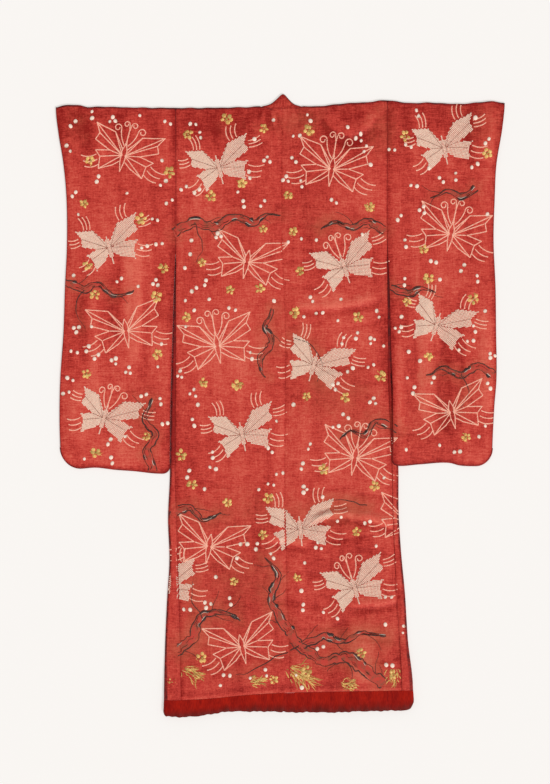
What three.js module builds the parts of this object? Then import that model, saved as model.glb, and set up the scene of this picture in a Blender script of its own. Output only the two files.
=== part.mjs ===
// A furisode: a young woman's kimono with long swinging sleeves, of lined and thinly padded silk.
// It is laid out flat on its front, back upwards, with both sleeves spread.
// Millimetres, +Z up, +Y from the hem towards the collar, +X towards the wearer's right sleeve.
//
// Places on the plan are read as in pattern drafting: `x` across, and `down` from the shoulder line
// towards the hem. Each body length is one strip of cloth that runs from the back hem over the
// shoulder to the front hem, so the shoulders are folds and have no seam. The side seams lie on the
// back, a little inside the folded edges, because the fronts are wrapped round.

import * as THREE from "three";

// Cloth
const CLOTH = 2.8; // silk, floss and lining together
const COLLAR_CLOTH = 3.2; // the collar is folded lengthwise
const LAYER_GAP = 1.2; // air between the front layer and the back layer
const SEAM_GAP = 0.3;
const COLLAR_GAP = 0.4;
const FRONT_LEVEL = CLOTH / 2; // middle of the layer that rests on the ground
const FOLD_RADIUS = (CLOTH + LAYER_GAP) / 2; // middle of the wall, round a pressed edge
const BACK_LEVEL = FRONT_LEVEL + 2 * FOLD_RADIUS;
const EDGE_DEPTH = FOLD_RADIUS + CLOTH / 2; // from a pressed edge to the centre of its curl

// Body
const SLEEVE_JOIN = 240; // the sleeve is sewn to the body this far down
const SIDE_SEAM_START = 380; // the side is open between the two
const HEM_DOWN = 1640; // the rows' places are stretched a little, so that the last meets the hem's seam
const HEM_LIFT = 8.8; // the padded hem raises the back layer
const HEM_RAMP = 150; // length over which it is raised
const LOFT = 2.6; // ordinary rise of the back layer between its seams

// Fronts, measured from the centre line
const FRONT_EDGE_AT_HEM = 14;
const OVERLAP_SEAM_AT_HEM = 165;
const OVERLAP_TOP = 246; // where the overlap panel runs out to a point
const COLLAR_END = 880;
const COLLAR_SEAM_AT_END = 48;
const COLLAR_WIDTH = 44;

// Neck
const NECK_X = 4;
const NECK_HALF_WIDTH = 58;
const NECK_DEPTH = 9;
const PEAK_X = 6; // where the collar folds over at the nape
const PEAK_RISE = 33.6;

// Sleeves
const CUFF_OPENING = 230;
const SLEEVE_FOOT = 950; // where the width of the foot is taken
const SLEEVE_LIFT = 8.2; // the right sleeve's lower corner lies on the edge of the body
const SLEEVE_LIFT_FROM = 680;
const SLEEVE_LIFT_TO = 780;
const SLEEVE_LIFT_WIDTH = 30;

// Padded hem
const ROLL_BELLY = 9;
const ROLL_SEAM = 3;
const ROLL_PROUD = 2; // it stands out beyond the folded edges
const ROLL_CORNER = { left: 9, right: 27 };

// The body's outline: centre seam, side seams and folded edges.
const bodyPlan = [
  { down: 0, centre: 4, leftSeam: -287, leftEdge: -287, rightSeam: 296, rightEdge: 296 },
  { down: 380, centre: 5, leftSeam: -287, leftEdge: -287, rightSeam: 296, rightEdge: 296 },
  { down: 480, centre: 9, leftSeam: -287, leftEdge: -291.2, rightSeam: 296.4, rightEdge: 300.8 },
  { down: 620, centre: 15, leftSeam: -287.5, leftEdge: -295.5, rightSeam: 298, rightEdge: 304.5 },
  { down: 754, centre: 15, leftSeam: -288, leftEdge: -299.5, rightSeam: 298.5, rightEdge: 309 },
  { down: 860, centre: 14, leftSeam: -288.5, leftEdge: -302, rightSeam: 303, rightEdge: 318 },
  { down: 950, centre: 13, leftSeam: -289, leftEdge: -303, rightSeam: 307, rightEdge: 325.5 },
  { down: 1030, centre: 12, leftSeam: -289, leftEdge: -304, rightSeam: 310, rightEdge: 327 },
  { down: 1140, centre: 14, leftSeam: -286, leftEdge: -309, rightSeam: 312, rightEdge: 327.5 },
  { down: 1250, centre: 17, leftSeam: -283, leftEdge: -305, rightSeam: 316, rightEdge: 334 },
  { down: 1370, centre: 19, leftSeam: -279, leftEdge: -312, rightSeam: 322, rightEdge: 345 },
  { down: 1500, centre: 25, leftSeam: -275, leftEdge: -317.5, rightSeam: 330, rightEdge: 353 },
  { down: 1640, centre: 27, leftSeam: -273, leftEdge: -320, rightSeam: 336, rightEdge: 367 },
];

// The hem: the seam of the padded roll and its lower edge, across the back.
const hemPlan = [
  { x: -320, seam: 1637, foot: 1680 },
  { x: -285, seam: 1637, foot: 1684 },
  { x: -240, seam: 1635, foot: 1682 },
  { x: -190, seam: 1632, foot: 1675 },
  { x: -130, seam: 1626, foot: 1668 },
  { x: -60, seam: 1620, foot: 1668 },
  { x: 30, seam: 1616, foot: 1670 },
  { x: 160, seam: 1613, foot: 1670 },
  { x: 280, seam: 1611, foot: 1666 },
  { x: 367, seam: 1610, foot: 1666 },
];

// The sleeves' free outlines: the edge beside the body and the cuff edge.
const leftSleevePlan = [
  { down: 0, inner: -287.3, outer: -618 },
  { down: 80, inner: -287.3, outer: -610 },
  { down: 150, inner: -287.3, outer: -598.5 },
  { down: 240, inner: -287.3, outer: -589.5 },
  { down: 380, inner: -288.2, outer: -587.5 },
  { down: 500, inner: -292.8, outer: -593 },
  { down: 620, inner: -296.6, outer: -597 },
  { down: 754, inner: -300.6, outer: -606 },
  { down: 865, inner: -303.2, outer: -608 },
  { down: 1014, inner: -305, outer: -604 },
];
const rightSleevePlan = [
  { down: 0, inner: 296.3, outer: 619.5 },
  { down: 60, inner: 296.3, outer: 614 },
  { down: 160, inner: 296.3, outer: 597 },
  { down: 260, inner: 296.4, outer: 592 },
  { down: 370, inner: 297.2, outer: 589 },
  { down: 500, inner: 302.4, outer: 594.5 },
  { down: 620, inner: 305.6, outer: 596 },
  { down: 754, inner: 310.2, outer: 597 },
  { down: 830, inner: 311, outer: 591 },
  { down: 992, inner: 311, outer: 585 },
];

// The sleeves' lower edges, and the radii that round off their corners.
const sleeveFoot = {
  left: { cuffRadius: 56, bodyRadius: 20, line: [
    { x: -608, foot: 1000 }, { x: -552, foot: 1000 }, { x: -510, foot: 997 },
    { x: -455, foot: 1003 }, { x: -400, foot: 1007 }, { x: -345, foot: 1013 }, { x: -300, foot: 1014 },
  ] },
  right: { cuffRadius: 46, bodyRadius: 7, line: [
    { x: 305, foot: 988 }, { x: 330, foot: 992 }, { x: 385, foot: 988 }, { x: 468, foot: 984 },
    { x: 496, foot: 991 }, { x: 545, foot: 993 }, { x: 592, foot: 992 },
  ] },
};

// How far the shoulder fold stands above or below the nominal line.
const shoulderLine = [
  { x: -618, rise: -2 }, { x: -600, rise: 2 }, { x: -552, rise: 3 }, { x: -530, rise: -2 },
  { x: -487, rise: -0.5 }, { x: -455, rise: -2 }, { x: -90, rise: -2 }, { x: -56, rise: 0 },
  { x: 62, rise: 0 }, { x: 90, rise: 0 }, { x: 137, rise: 3 }, { x: 165, rise: 7 },
  { x: 247, rise: 12 }, { x: 296, rise: 17 }, { x: 345, rise: 10 }, { x: 430, rise: 10 },
  { x: 468, rise: 7 }, { x: 520, rise: 8 }, { x: 585, rise: 14 }, { x: 619, rise: 9 },
];
const SHOULDER_SPREAD = 90; // the unevenness dies out this far down

// Creases of the upper layer: a ridge has a positive height and a trough a negative one.
// Each runs from (x, down) to (toX, toDown), bowed sideways by `bow` at its middle.
const creases = [
  // a swag below the right shoulder, and pulls beside the nape
  { x: 112, down: 30, toX: 268, toDown: 62, bow: 52, height: -2.6, width: 12 },
  { x: 118, down: 8, toX: 262, toDown: 40, bow: 46, height: 4.5, width: 17 },
  { x: -34, down: 14, toX: -15, toDown: 66, bow: 4, height: -2.4, width: 8 },
  { x: -60, down: 24, toX: -42, toDown: 90, bow: 4, height: 2, width: 12 },
  // across the back below the shoulder blades
  { x: 8, down: 428, toX: 112, toDown: 418, bow: 5, height: -2, width: 7 },
  { x: 26, down: 566, toX: 290, toDown: 540, bow: 14, height: -2.4, width: 8 },
  { x: 40, down: 548, toX: 270, toDown: 520, bow: 12, height: 2.6, width: 11 },
  { x: 55, down: 726, toX: 290, toDown: 704, bow: 10, height: -2, width: 8 },
  { x: 282, down: 560, toX: 287, toDown: 770, bow: 0, height: -2.2, width: 9 },
  // the tented folds on the right of the skirt
  { x: 96, down: 1124, toX: 196, toDown: 1106, bow: -8, height: -2.2, width: 7 },
  { x: 84, down: 1143, toX: 205, toDown: 1124, bow: -10, height: 7, width: 11 },
  { x: 205, down: 1124, toX: 326, toDown: 1162, bow: -8, height: 5.5, width: 12 },
  { x: 80, down: 1163, toX: 200, toDown: 1144, bow: -8, height: -2.6, width: 8 },
  { x: 200, down: 1148, toX: 326, toDown: 1184, bow: -6, height: -2.6, width: 8 },
  { x: -40, down: 1210, toX: 72, toDown: 1228, bow: -4, height: -2.6, width: 9 },
  { x: -34, down: 1190, toX: 84, toDown: 1206, bow: -5, height: 4, width: 12 },
  // across the lower skirt
  { x: -14, down: 1368, toX: 112, toDown: 1384, bow: -5, height: -2.2, width: 8 },
  { x: 188, down: 1388, toX: 338, toDown: 1371, bow: 6, height: -2.6, width: 8 },
  { x: 186, down: 1370, toX: 338, toDown: 1352, bow: 6, height: 4.2, width: 11 },
  { x: 178, down: 1415, toX: 184, toDown: 1604, bow: 4, height: -2.2, width: 12 },
  { x: 226, down: 1420, toX: 232, toDown: 1600, bow: 4, height: 2.4, width: 26 },
  { x: -305, down: 1500, toX: -220, toDown: 1512, bow: 3, height: -2, width: 8 },
  // soft folds that run down the left sleeve
  { x: -560, down: 12, toX: -520, toDown: 130, bow: 6, height: -2.4, width: 15 },
  { x: -448, down: 330, toX: -452, toDown: 640, bow: 6, height: -2.2, width: 17 },
  { x: -410, down: 340, toX: -404, toDown: 700, bow: -8, height: 3, width: 20 },
  { x: -334, down: 420, toX: -330, toDown: 590, bow: 4, height: -2.2, width: 13 },
  { x: -560, down: 760, toX: -556, toDown: 930, bow: 5, height: 2.4, width: 22 },
  // and down the right one
  { x: 408, down: 500, toX: 404, toDown: 880, bow: 8, height: 3.2, width: 18 },
  { x: 454, down: 600, toX: 456, toDown: 900, bow: 6, height: -2.2, width: 15 },
  { x: 560, down: 560, toX: 566, toDown: 840, bow: -6, height: 3, width: 18 },
  { x: 348, down: 470, toX: 340, toDown: 620, bow: 5, height: -2, width: 13 },
];

// The rows of the body's cloth, in places down the back and down the front.
const BACK_ROWS = spread([
  [EDGE_DEPTH, NECK_DEPTH, 2], [NECK_DEPTH, 34, 2], [34, 130, 5], [130, 410, 4], [410, 436, 2], [436, 510, 1],
  [510, 590, 7], [590, 700, 2], [700, 740, 3], [740, 1090, 4], [1090, 1240, 14],
  [1240, 1345, 2], [1345, 1405, 6], [1405, 1490, 1], [1490, HEM_DOWN, 4],
]);
const FRONT_ROWS = [EDGE_DEPTH, 40, 120, OVERLAP_TOP - 14, OVERLAP_TOP, 380, 410, 440, 480, 620, 754,
  COLLAR_END, 1030, 1140, 1250, 1370, 1500, 1570, HEM_DOWN];
const SHOULDER_TURNS = [36, 72, 108, 144];
const BODY_COLUMNS = [0, 0.07, 0.18, 0.32, 0.46, 0.6, 0.73, 0.85, 0.94, 1];

// Evenly spaced places along stretches of [from, to, number of steps].
function spread(stretches) {
  const places = [stretches[0][0]];
  for (const [from, to, steps] of stretches)
    for (let i = 1; i <= steps; i++) places.push(from + ((to - from) * i) / steps);
  return places;
}

const radians = THREE.MathUtils.degToRad;
const mix = THREE.MathUtils.lerp;
const ease = (t) => THREE.MathUtils.smoothstep(t, 0, 1);

// A smooth curve through one column of a table.
function reader(table, place, size) {
  const curve = new THREE.CubicInterpolant(
    table.map((row) => row[place]),
    table.map((row) => row[size]),
    1,
  );
  return (at) => curve.evaluate(at)[0];
}

const centreAt = reader(bodyPlan, "down", "centre");
const riseAt = reader(shoulderLine, "x", "rise");
const hemSeamAt = reader(hemPlan, "x", "seam");
const hemFootAt = reader(hemPlan, "x", "foot");
const sides = {
  left: {
    sign: -1,
    seamAt: reader(bodyPlan, "down", "leftSeam"),
    edgeAt: reader(bodyPlan, "down", "leftEdge"),
  },
  right: {
    sign: 1,
    seamAt: reader(bodyPlan, "down", "rightSeam"),
    edgeAt: reader(bodyPlan, "down", "rightEdge"),
  },
};

// The place in plan of a point: the shoulder's unevenness moves the cloth near it.
function planY(x, down) {
  return -down + riseAt(x) * Math.exp(-((down / SHOULDER_SPREAD) ** 2));
}

// The place down a length of cloth, so that its last row meets the hem's seam.
function stretched(x, down) {
  return mix(EDGE_DEPTH, hemSeamAt(x) - SEAM_GAP, (down - EDGE_DEPTH) / (HEM_DOWN - EDGE_DEPTH));
}

// Half the width of the back's neckline at a place, which narrows from the shoulder fold to a point.
const neckHalfAt = (down) =>
  NECK_HALF_WIDTH * Math.max(0, (NECK_DEPTH - down) / (NECK_DEPTH - EDGE_DEPTH));

// The middle of the fronts, which hang straight from the neck to the hem.
const frontCentreAt = (down) => mix(NECK_X, centreAt(HEM_DOWN), down / HEM_DOWN);

// Height that one crease adds at a place.
function creaseHeight(crease, x, down) {
  const along = new THREE.Vector2(crease.toX - crease.x, crease.toDown - crease.down);
  const from = new THREE.Vector2(x - crease.x, down - crease.down);
  const share = from.dot(along) / along.lengthSq();
  const bow = crease.bow * 4 * share * (1 - share);
  const off = along.cross(from) / along.length() - bow;
  const fade = ease((share + 0.08) / 0.25) * ease((1.08 - share) / 0.25);
  return crease.height * fade * Math.exp(-((off / crease.width) ** 2));
}

// Rise of the upper layer over its flat place, for a point `inside` its nearest edge.
function relief(x, down, inside) {
  const wander = 0.5 * Math.sin(x / 61 + down / 173) + 0.5 * Math.sin(down / 97 - x / 140);
  const folds = creases.reduce((sum, crease) => sum + creaseHeight(crease, x, down), 0);
  return Math.max(0, (LOFT + wander) * ease(inside / 34) + folds * ease(inside / 20));
}

const hemLift = (down, x) => HEM_LIFT * ease((down - hemSeamAt(x) + HEM_RAMP) / HEM_RAMP);

const up = new THREE.Vector3(0, 0, 1);
const knot = (x, y, z, normal) => ({ middle: new THREE.Vector3(x, y, z), normal });

// Joins two rows of point numbers with triangles; `closed` joins the rows' ends too.
function band(index, rowA, rowB, closed) {
  const steps = closed ? rowA.length : rowA.length - 1;
  for (let i = 0; i < steps; i++) {
    const j = (i + 1) % rowA.length;
    index.push(rowA[i], rowB[i], rowB[j], rowA[i], rowB[j], rowA[j]);
  }
}

function solid(points, index) {
  const geometry = new THREE.BufferGeometry();
  geometry.setAttribute("position", new THREE.Float32BufferAttribute(points, 3));
  geometry.setIndex(index);
  geometry.computeVertexNormals();
  return geometry;
}

// A closed wall: a grid of knots thickened to both sides, with a rim round it.
// `looped` joins each row's last knot to its first, which makes a tube open at both ends.
function wall(grid, thickness, looped = false) {
  const points = [];
  const index = [];
  const layer = (reach) =>
    grid.map((row) => row.map(({ middle, normal }) => {
      const point = middle.clone().addScaledVector(normal, reach);
      points.push(point.x, point.y, point.z);
      return points.length / 3 - 1;
    }));
  const outer = layer(thickness / 2);
  const inner = layer(-thickness / 2);
  const last = grid.length - 1;
  for (let i = 0; i < last; i++) {
    band(index, outer[i], outer[i + 1], looped);
    band(index, inner[i + 1], inner[i], looped);
  }
  band(index, inner[0], outer[0], looped);
  band(index, outer[last], inner[last], looped);
  if (!looped) {
    const end = grid[0].length - 1;
    band(index, outer.map((row) => row[0]), inner.map((row) => row[0]), false);
    band(index, inner.map((row) => row[end]), outer.map((row) => row[end]), false);
  }
  return solid(points, index);
}

// A section that runs flat along the ground, curls up round the folded edge and ends on the back.
// `turn` is the angle of the curl, and `top` is the width that comes to lie on the back. The half of
// the knots is spent on the flat part and the other half on the curl.
function curledSection({ start, edge, top, turn, sign, radius }) {
  const curlX = edge - sign * (radius + CLOTH / 2) * ease(turn / radians(90));
  const flat = Math.abs(curlX - start);
  const curl = radius * turn;
  return (share) => {
    const length = share < 0.5 ? share * 2 * flat : flat + (share * 2 - 1) * (curl + top);
    if (length <= flat) return knot(start + sign * length, 0, FRONT_LEVEL, up.clone().negate());
    const angle = Math.min(length - flat, curl) / radius;
    const rest = Math.max(0, length - flat - curl);
    return knot(
      curlX + sign * (radius * Math.sin(angle) + rest * Math.cos(turn)),
      0,
      FRONT_LEVEL + radius * (1 - Math.cos(angle)) + rest * Math.sin(turn),
      new THREE.Vector3(sign * Math.sin(angle), 0, -Math.cos(angle)),
    );
  };
}

// The collar's seam and the overlap panel's seam, as distances from the centre line.
const collarSeamAt = (down) => mix(NECK_HALF_WIDTH, COLLAR_SEAM_AT_END, down / COLLAR_END);
const overlapSeamAt = (down) =>
  mix(collarSeamAt(OVERLAP_TOP) + 2, OVERLAP_SEAM_AT_HEM, (down - OVERLAP_TOP) / (HEM_DOWN - OVERLAP_TOP));

// One body length: up the back, over the shoulder and down the front.
function bodyLength(side) {
  const { sign, seamAt, edgeAt } = sides[side];
  const grid = [];
  const innerX = (down) => {
    if (down >= NECK_DEPTH) return centreAt(down) + (sign * SEAM_GAP) / 2;
    return NECK_X + sign * Math.max(neckHalfAt(down), SEAM_GAP / 2);
  };
  const backRow = (down) => BODY_COLUMNS.map((share) => {
    const from = innerX(down);
    const to = seamAt(down);
    const x = mix(from, to, share);
    const place = stretched(x, down);
    const inside = Math.min(Math.abs(x - from) + 6, Math.abs(x - to) + 3, down);
    const height = relief(x, place, inside) * ease((hemSeamAt(x) - place) / 60);
    return knot(x, planY(x, place), BACK_LEVEL + height + hemLift(place, x), up);
  });
  for (const down of [...BACK_ROWS].reverse()) grid.push(backRow(down));

  for (const degrees of SHOULDER_TURNS) {
    const angle = radians(degrees);
    grid.push(BODY_COLUMNS.map((share) => {
      const x = mix(NECK_X + sign * NECK_HALF_WIDTH, seamAt(0), share);
      return knot(
        x,
        planY(x, EDGE_DEPTH) + FOLD_RADIUS * Math.sin(angle),
        FRONT_LEVEL + FOLD_RADIUS * (1 + Math.cos(angle)),
        new THREE.Vector3(0, Math.sin(angle), Math.cos(angle)),
      );
    }));
  }

  for (const down of FRONT_ROWS) {
    const seam = down < OVERLAP_TOP ? collarSeamAt(down) : overlapSeamAt(down) + SEAM_GAP / 2;
    const edge = edgeAt(down);
    const lift = hemLift(down, edge) / 2;
    const turn = radians(180) * ease((down - SIDE_SEAM_START) / 60);
    const radius = FOLD_RADIUS + lift;
    const wrap = Math.abs(edge - seamAt(down)) - (radius + CLOTH / 2) - SEAM_GAP;
    const section = curledSection({
      start: frontCentreAt(down) + sign * seam,
      edge, top: Math.max(turn > 0 ? 0.4 : 0, wrap), turn, sign, radius,
    });
    grid.push(BODY_COLUMNS.map((share) => {
      const place = section(share);
      const { x } = place.middle;
      place.middle.y = planY(x, stretched(x, down));
      return place;
    }));
  }
  return wall(grid, CLOTH);
}

// The overlap panel sewn to a front: a long wedge that runs out to a point under the collar.
function overlapPanel(side) {
  const { sign } = sides[side];
  const facing = up.clone().multiplyScalar(sign);
  const grid = FRONT_ROWS.filter((down) => down >= OVERLAP_TOP).map((down) => {
    const belowCollar = Math.max(0, (down - COLLAR_END) / (HEM_DOWN - COLLAR_END));
    const front = down < COLLAR_END
      ? collarSeamAt(down)
      : mix(COLLAR_SEAM_AT_END, FRONT_EDGE_AT_HEM, belowCollar);
    return [0, 0.3, 0.65, 1].map((share) => {
      const x = frontCentreAt(down) + sign * mix(front, overlapSeamAt(down) - SEAM_GAP / 2, share);
      return knot(x, planY(x, stretched(x, down)), FRONT_LEVEL, facing);
    });
  });
  return wall(grid, CLOTH);
}

// The collar: one band up the left front, round the nape, where it folds over, and down the right.
// Its arms lie flat on the ground with the fronts. On the crown it starts level with the back, folds
// over along two slanting lines that meet in the peak, and goes on underneath.
function collar() {
  const level = COLLAR_CLOTH / 2;
  const radius = (2 * EDGE_DEPTH - COLLAR_CLOTH) / 2;
  const peak = new THREE.Vector2(PEAK_X, PEAK_RISE - radius - COLLAR_CLOTH / 2);
  const armRows = [COLLAR_END, 800, 660, 520, 380, 260, 160, 90, 46, 22, 1];
  const crownShares = [0.05, 0.16, 0.32, 0.52, 0.74, 0.9];
  const turns = [0, 45, 90, 135, 180].map(radians);
  const runs = [0, 1.2, ...turns.map((angle) => 2.4 + radius * angle), 26, COLLAR_WIDTH];

  const half = (sign) => {
    const foldEnd = new THREE.Vector2(NECK_X + sign * (NECK_HALF_WIDTH - 4), 0.4 - EDGE_DEPTH);
    const foldLine = peak.clone().sub(foldEnd).normalize();
    const outward = new THREE.Vector2(sign * foldLine.y, Math.abs(foldLine.x));
    const fan = Math.PI / 2 - 2 * Math.atan2(foldLine.y, Math.abs(foldLine.x));

    const arm = armRows.map((down) => {
      const start = frontCentreAt(down) + sign * (collarSeamAt(down) - COLLAR_GAP);
      const slant = fan * (1 - ease((down - 10) / 90));
      return runs.map((run) => knot(
        start - sign * run * Math.cos(slant),
        planY(start, stretched(start, down)) - run * Math.sin(slant), level, up.clone().negate()));
    });

    const crownRow = (share) => {
      const fold = foldEnd.clone().lerp(peak, share);
      const fromNape = Math.abs(fold.x - NECK_X) / NECK_HALF_WIDTH;
      const seamY = planY(fold.x, mix(NECK_DEPTH, EDGE_DEPTH, fromNape)) + COLLAR_GAP;
      const rise = Math.max(0.6, fold.y - seamY);
      const towardsPeak = ease((share - 0.6) / 0.4);
      const normal = outward.clone().lerp(new THREE.Vector2(0, 1), towardsPeak).normalize();
      const slant = mix(fan, Math.PI / 2, towardsPeak);
      const left = Math.max(1.2, COLLAR_WIDTH - rise - Math.PI * radius);
      const onTop = [0, 0.5].map((part) => knot(fold.x, seamY + rise * part, level + 2 * radius, up));
      const overFold = turns.map((angle) => {
        const aside = normal.clone().multiplyScalar(Math.sin(angle));
        const out = new THREE.Vector3(aside.x, aside.y, Math.cos(angle));
        const at = new THREE.Vector3(fold.x, fold.y, level + radius).addScaledVector(out, radius);
        return knot(at.x, at.y, at.z, out);
      });
      const below = [0.5, 1].map((part) => knot(
        fold.x - sign * left * part * Math.cos(slant),
        fold.y - left * part * Math.sin(slant), level, up.clone().negate()));
      return [...onTop, ...overFold, ...below];
    };
    return { arm, crown: crownShares.map(crownRow), crownRow };
  };
  const left = half(-1);
  const right = half(1);
  return wall([
    ...left.arm, ...left.crown, right.crownRow(1), ...right.crown.reverse(), ...right.arm.reverse(),
  ], COLLAR_CLOTH);
}

// A sleeve: a flat tube folded at the shoulder and rounded at its foot, open beside the body.
// Its cuff edge is open for a hand at the top, and the layers are sewn together below that.
function sleeve(side, plan) {
  const { sign, edgeAt } = sides[side];
  const { cuffRadius, bodyRadius, line } = sleeveFoot[side];
  const innerAt = reader(plan, "down", "inner");
  const outerAt = reader(plan, "down", "outer");
  const footLineAt = reader(line, "x", "foot");
  const across = [0, 0.02, 0.06, 0.14, 0.24, 0.35, 0.46, 0.57, 0.68, 0.78, 0.86, 0.925, 0.97, 0.993, 1];
  const topRows = [0, 0.018, 0.05, 0.1, 0.16, 0.24, 0.33, 0.42, 0.5, 0.58, 0.66, 0.74, 0.82, 0.9, 0.96, 1];
  const underRows = [1, 0.9, 0.785, 0.69, 0.46, 0.23, 0];

  const cornerCut = (distance, radius) => {
    const into = Math.max(0, radius - distance);
    return radius - Math.sqrt(Math.max(0, radius ** 2 - into ** 2));
  };
  const footWidth = outerAt(SLEEVE_FOOT) - innerAt(SLEEVE_FOOT);
  const grid = across.map((share) => {
    const foot = footLineAt(innerAt(SLEEVE_FOOT) + footWidth * share)
      - cornerCut((1 - share) * Math.abs(footWidth), cuffRadius)
      - cornerCut(share * Math.abs(footWidth), bodyRadius);
    const end = foot - EDGE_DEPTH;
    const xAt = (down) => mix(innerAt(down), outerAt(down), share);
    const liftAt = (x, down) => {
      const along = ease((down - SLEEVE_LIFT_FROM) / (SLEEVE_LIFT_TO - SLEEVE_LIFT_FROM));
      const beside = ease((edgeAt(down) + SLEEVE_LIFT_WIDTH + 4 - x) / SLEEVE_LIFT_WIDTH);
      return side === "right" ? SLEEVE_LIFT * along * beside : 0;
    };
    const pinchAt = (down) =>
      (LAYER_GAP - SEAM_GAP) * ease((down - CUFF_OPENING) / 20) * ease((share - 0.93) / 0.06);
    const layer = (rows, level, normal, rises) => rows.map((part) => {
      const down = mix(EDGE_DEPTH, end, part);
      const x = xAt(down);
      const inside = Math.min(
        Math.abs(x - innerAt(down)) + 5, Math.abs(x - outerAt(down)), down, (end - down) * 0.8);
      const height = rises ? relief(x, down, Math.max(0, inside)) - pinchAt(down) : 0;
      return knot(x, planY(x, down), level + height + liftAt(x, down), normal);
    });
    const turnRound = (down, level, y) => [36, 72, 108, 144].map((degrees) => {
      const angle = radians(degrees);
      const x = xAt(down);
      return knot(
        x,
        planY(x, down) + y * FOLD_RADIUS * Math.sin(angle),
        level + FOLD_RADIUS * (1 + y * Math.cos(angle)) + liftAt(x, down),
        new THREE.Vector3(0, y * Math.sin(angle), y * Math.cos(angle)),
      );
    });
    return [
      ...layer(topRows, BACK_LEVEL, up, true),
      ...turnRound(end, FRONT_LEVEL, -1).reverse(),
      ...layer(underRows, FRONT_LEVEL, up.clone().negate(), false),
      ...turnRound(EDGE_DEPTH, FRONT_LEVEL, 1).reverse(),
    ];
  });
  return wall(sign < 0 ? grid : grid.reverse(), CLOTH, true);
}

// The padded hem: a soft roll of the plain lining that runs from one front edge round the back
// to the other, thickest near its foot.
function hemRoll() {
  const frontLevel = ROLL_BELLY / 2;
  const backLevel = BACK_LEVEL + HEM_LIFT;
  const turnRadius = (backLevel - frontLevel) / 2;
  const reach = turnRadius + ROLL_BELLY / 2;
  const centre = centreAt(HEM_DOWN);
  const tips = {
    left: sides.left.edgeAt(HEM_DOWN) - ROLL_PROUD,
    right: sides.right.edgeAt(HEM_DOWN) + ROLL_PROUD,
  };
  const ends = { left: tips.left + reach, right: tips.right - reach };
  const sunk = frontLevel - ROLL_SEAM / 2; // the roll's seam end lies low on the front layer

  const stations = [];
  const flat = (from, to, steps, level, out) => {
    for (let i = 0; i <= steps; i++)
      stations.push({
        x: mix(from, to, i / steps), z: level, out: new THREE.Vector3(0, 0, out), low: out < 0 ? 1 : 0,
      });
  };
  const turn = (x, sign) => {
    for (const degrees of sign < 0 ? [30, 60, 90, 120, 150] : [150, 120, 90, 60, 30]) {
      const angle = radians(degrees);
      const out = new THREE.Vector3(sign * Math.sin(angle), 0, -Math.cos(angle));
      const low = 1 - ease(degrees / 150);
      stations.push({ x: x + out.x * turnRadius, z: frontLevel + turnRadius * (1 + out.z), out, low });
    }
  };
  flat(centre - FRONT_EDGE_AT_HEM, ends.left, 6, frontLevel, -1);
  turn(ends.left, -1);
  flat(ends.left, ends.right, 18, backLevel, 1);
  turn(ends.right, 1);
  flat(ends.right, centre + FRONT_EDGE_AT_HEM, 6, frontLevel, -1);

  // half of the section, from the seam end round the foot: share of the roll's depth, half thickness
  const profile = [[0, 0.5 * ROLL_SEAM], [0.22, 0.3 * ROLL_BELLY], [0.5, 0.44 * ROLL_BELLY],
    [0.74, 0.5 * ROLL_BELLY], [0.9, 0.4 * ROLL_BELLY], [0.98, 0.2 * ROLL_BELLY]];
  const points = [];
  const index = [];
  const rings = stations.map(({ x, z, out, low }) => {
    const side = x < centre ? "left" : "right";
    const corner = ROLL_CORNER[side];
    const into = Math.max(0, corner - Math.abs(tips[side] - x - out.x * (ROLL_BELLY / 2)));
    const cut = corner - Math.sqrt(corner ** 2 - Math.min(into, corner * 0.96) ** 2);
    const seam = hemSeamAt(x) + SEAM_GAP;
    const depth = hemFootAt(x) - cut - seam;
    const outline = [
      ...profile,
      [1, 0],
      ...[...profile].reverse().map(([share, half]) => [share, -half]),
    ];
    return outline.map(([share, half]) => {
      const settle = low * sunk * (1 - ease(share / 0.6));
      const point = new THREE.Vector3(x, -seam - depth * share, z).addScaledVector(out, half + settle);
      points.push(point.x, point.y, Math.max(0, point.z));
      return points.length / 3 - 1;
    });
  });
  for (let i = 1; i < rings.length; i++) band(index, rings[i - 1], rings[i], true);
  const cap = (ring, flip) => {
    for (let i = 0; i < Math.floor((ring.length - 1) / 2); i++) {
      const [a, b, c, d] = [ring[i], ring[i + 1], ring[ring.length - 2 - i], ring[ring.length - 1 - i]];
      const corners = b === c ? [a, b, d] : [a, b, c, a, c, d];
      for (let k = 0; k < corners.length; k += 3)
        index.push(...(flip ? [corners[k], corners[k + 2], corners[k + 1]] : corners.slice(k, k + 3)));
    }
  };
  cap(rings[0], false);
  cap(rings[rings.length - 1], true);
  return solid(points, index);
}

// A geometry turned so that its faces point outwards.
function facingOut(geometry) {
  const point = geometry.getAttribute("position");
  const index = geometry.getIndex().array;
  const corner = (i) => new THREE.Vector3().fromBufferAttribute(point, index[i]);
  let volume = 0;
  for (let i = 0; i < index.length; i += 3)
    volume += corner(i).dot(corner(i + 1).cross(corner(i + 2)));
  if (volume < 0)
    for (let i = 0; i < index.length; i += 3) [index[i + 1], index[i + 2]] = [index[i + 2], index[i + 1]];
  return geometry;
}

const figuredSilk = new THREE.MeshStandardMaterial({ color: 0xbd3a2f, roughness: 0.62, metalness: 0 });
const plainLining = new THREE.MeshStandardMaterial({ color: 0xa01a14, roughness: 0.55, metalness: 0 });

function piece(name, geometry, material) {
  const mesh = new THREE.Mesh(facingOut(geometry), material);
  mesh.name = name;
  return mesh;
}

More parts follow.
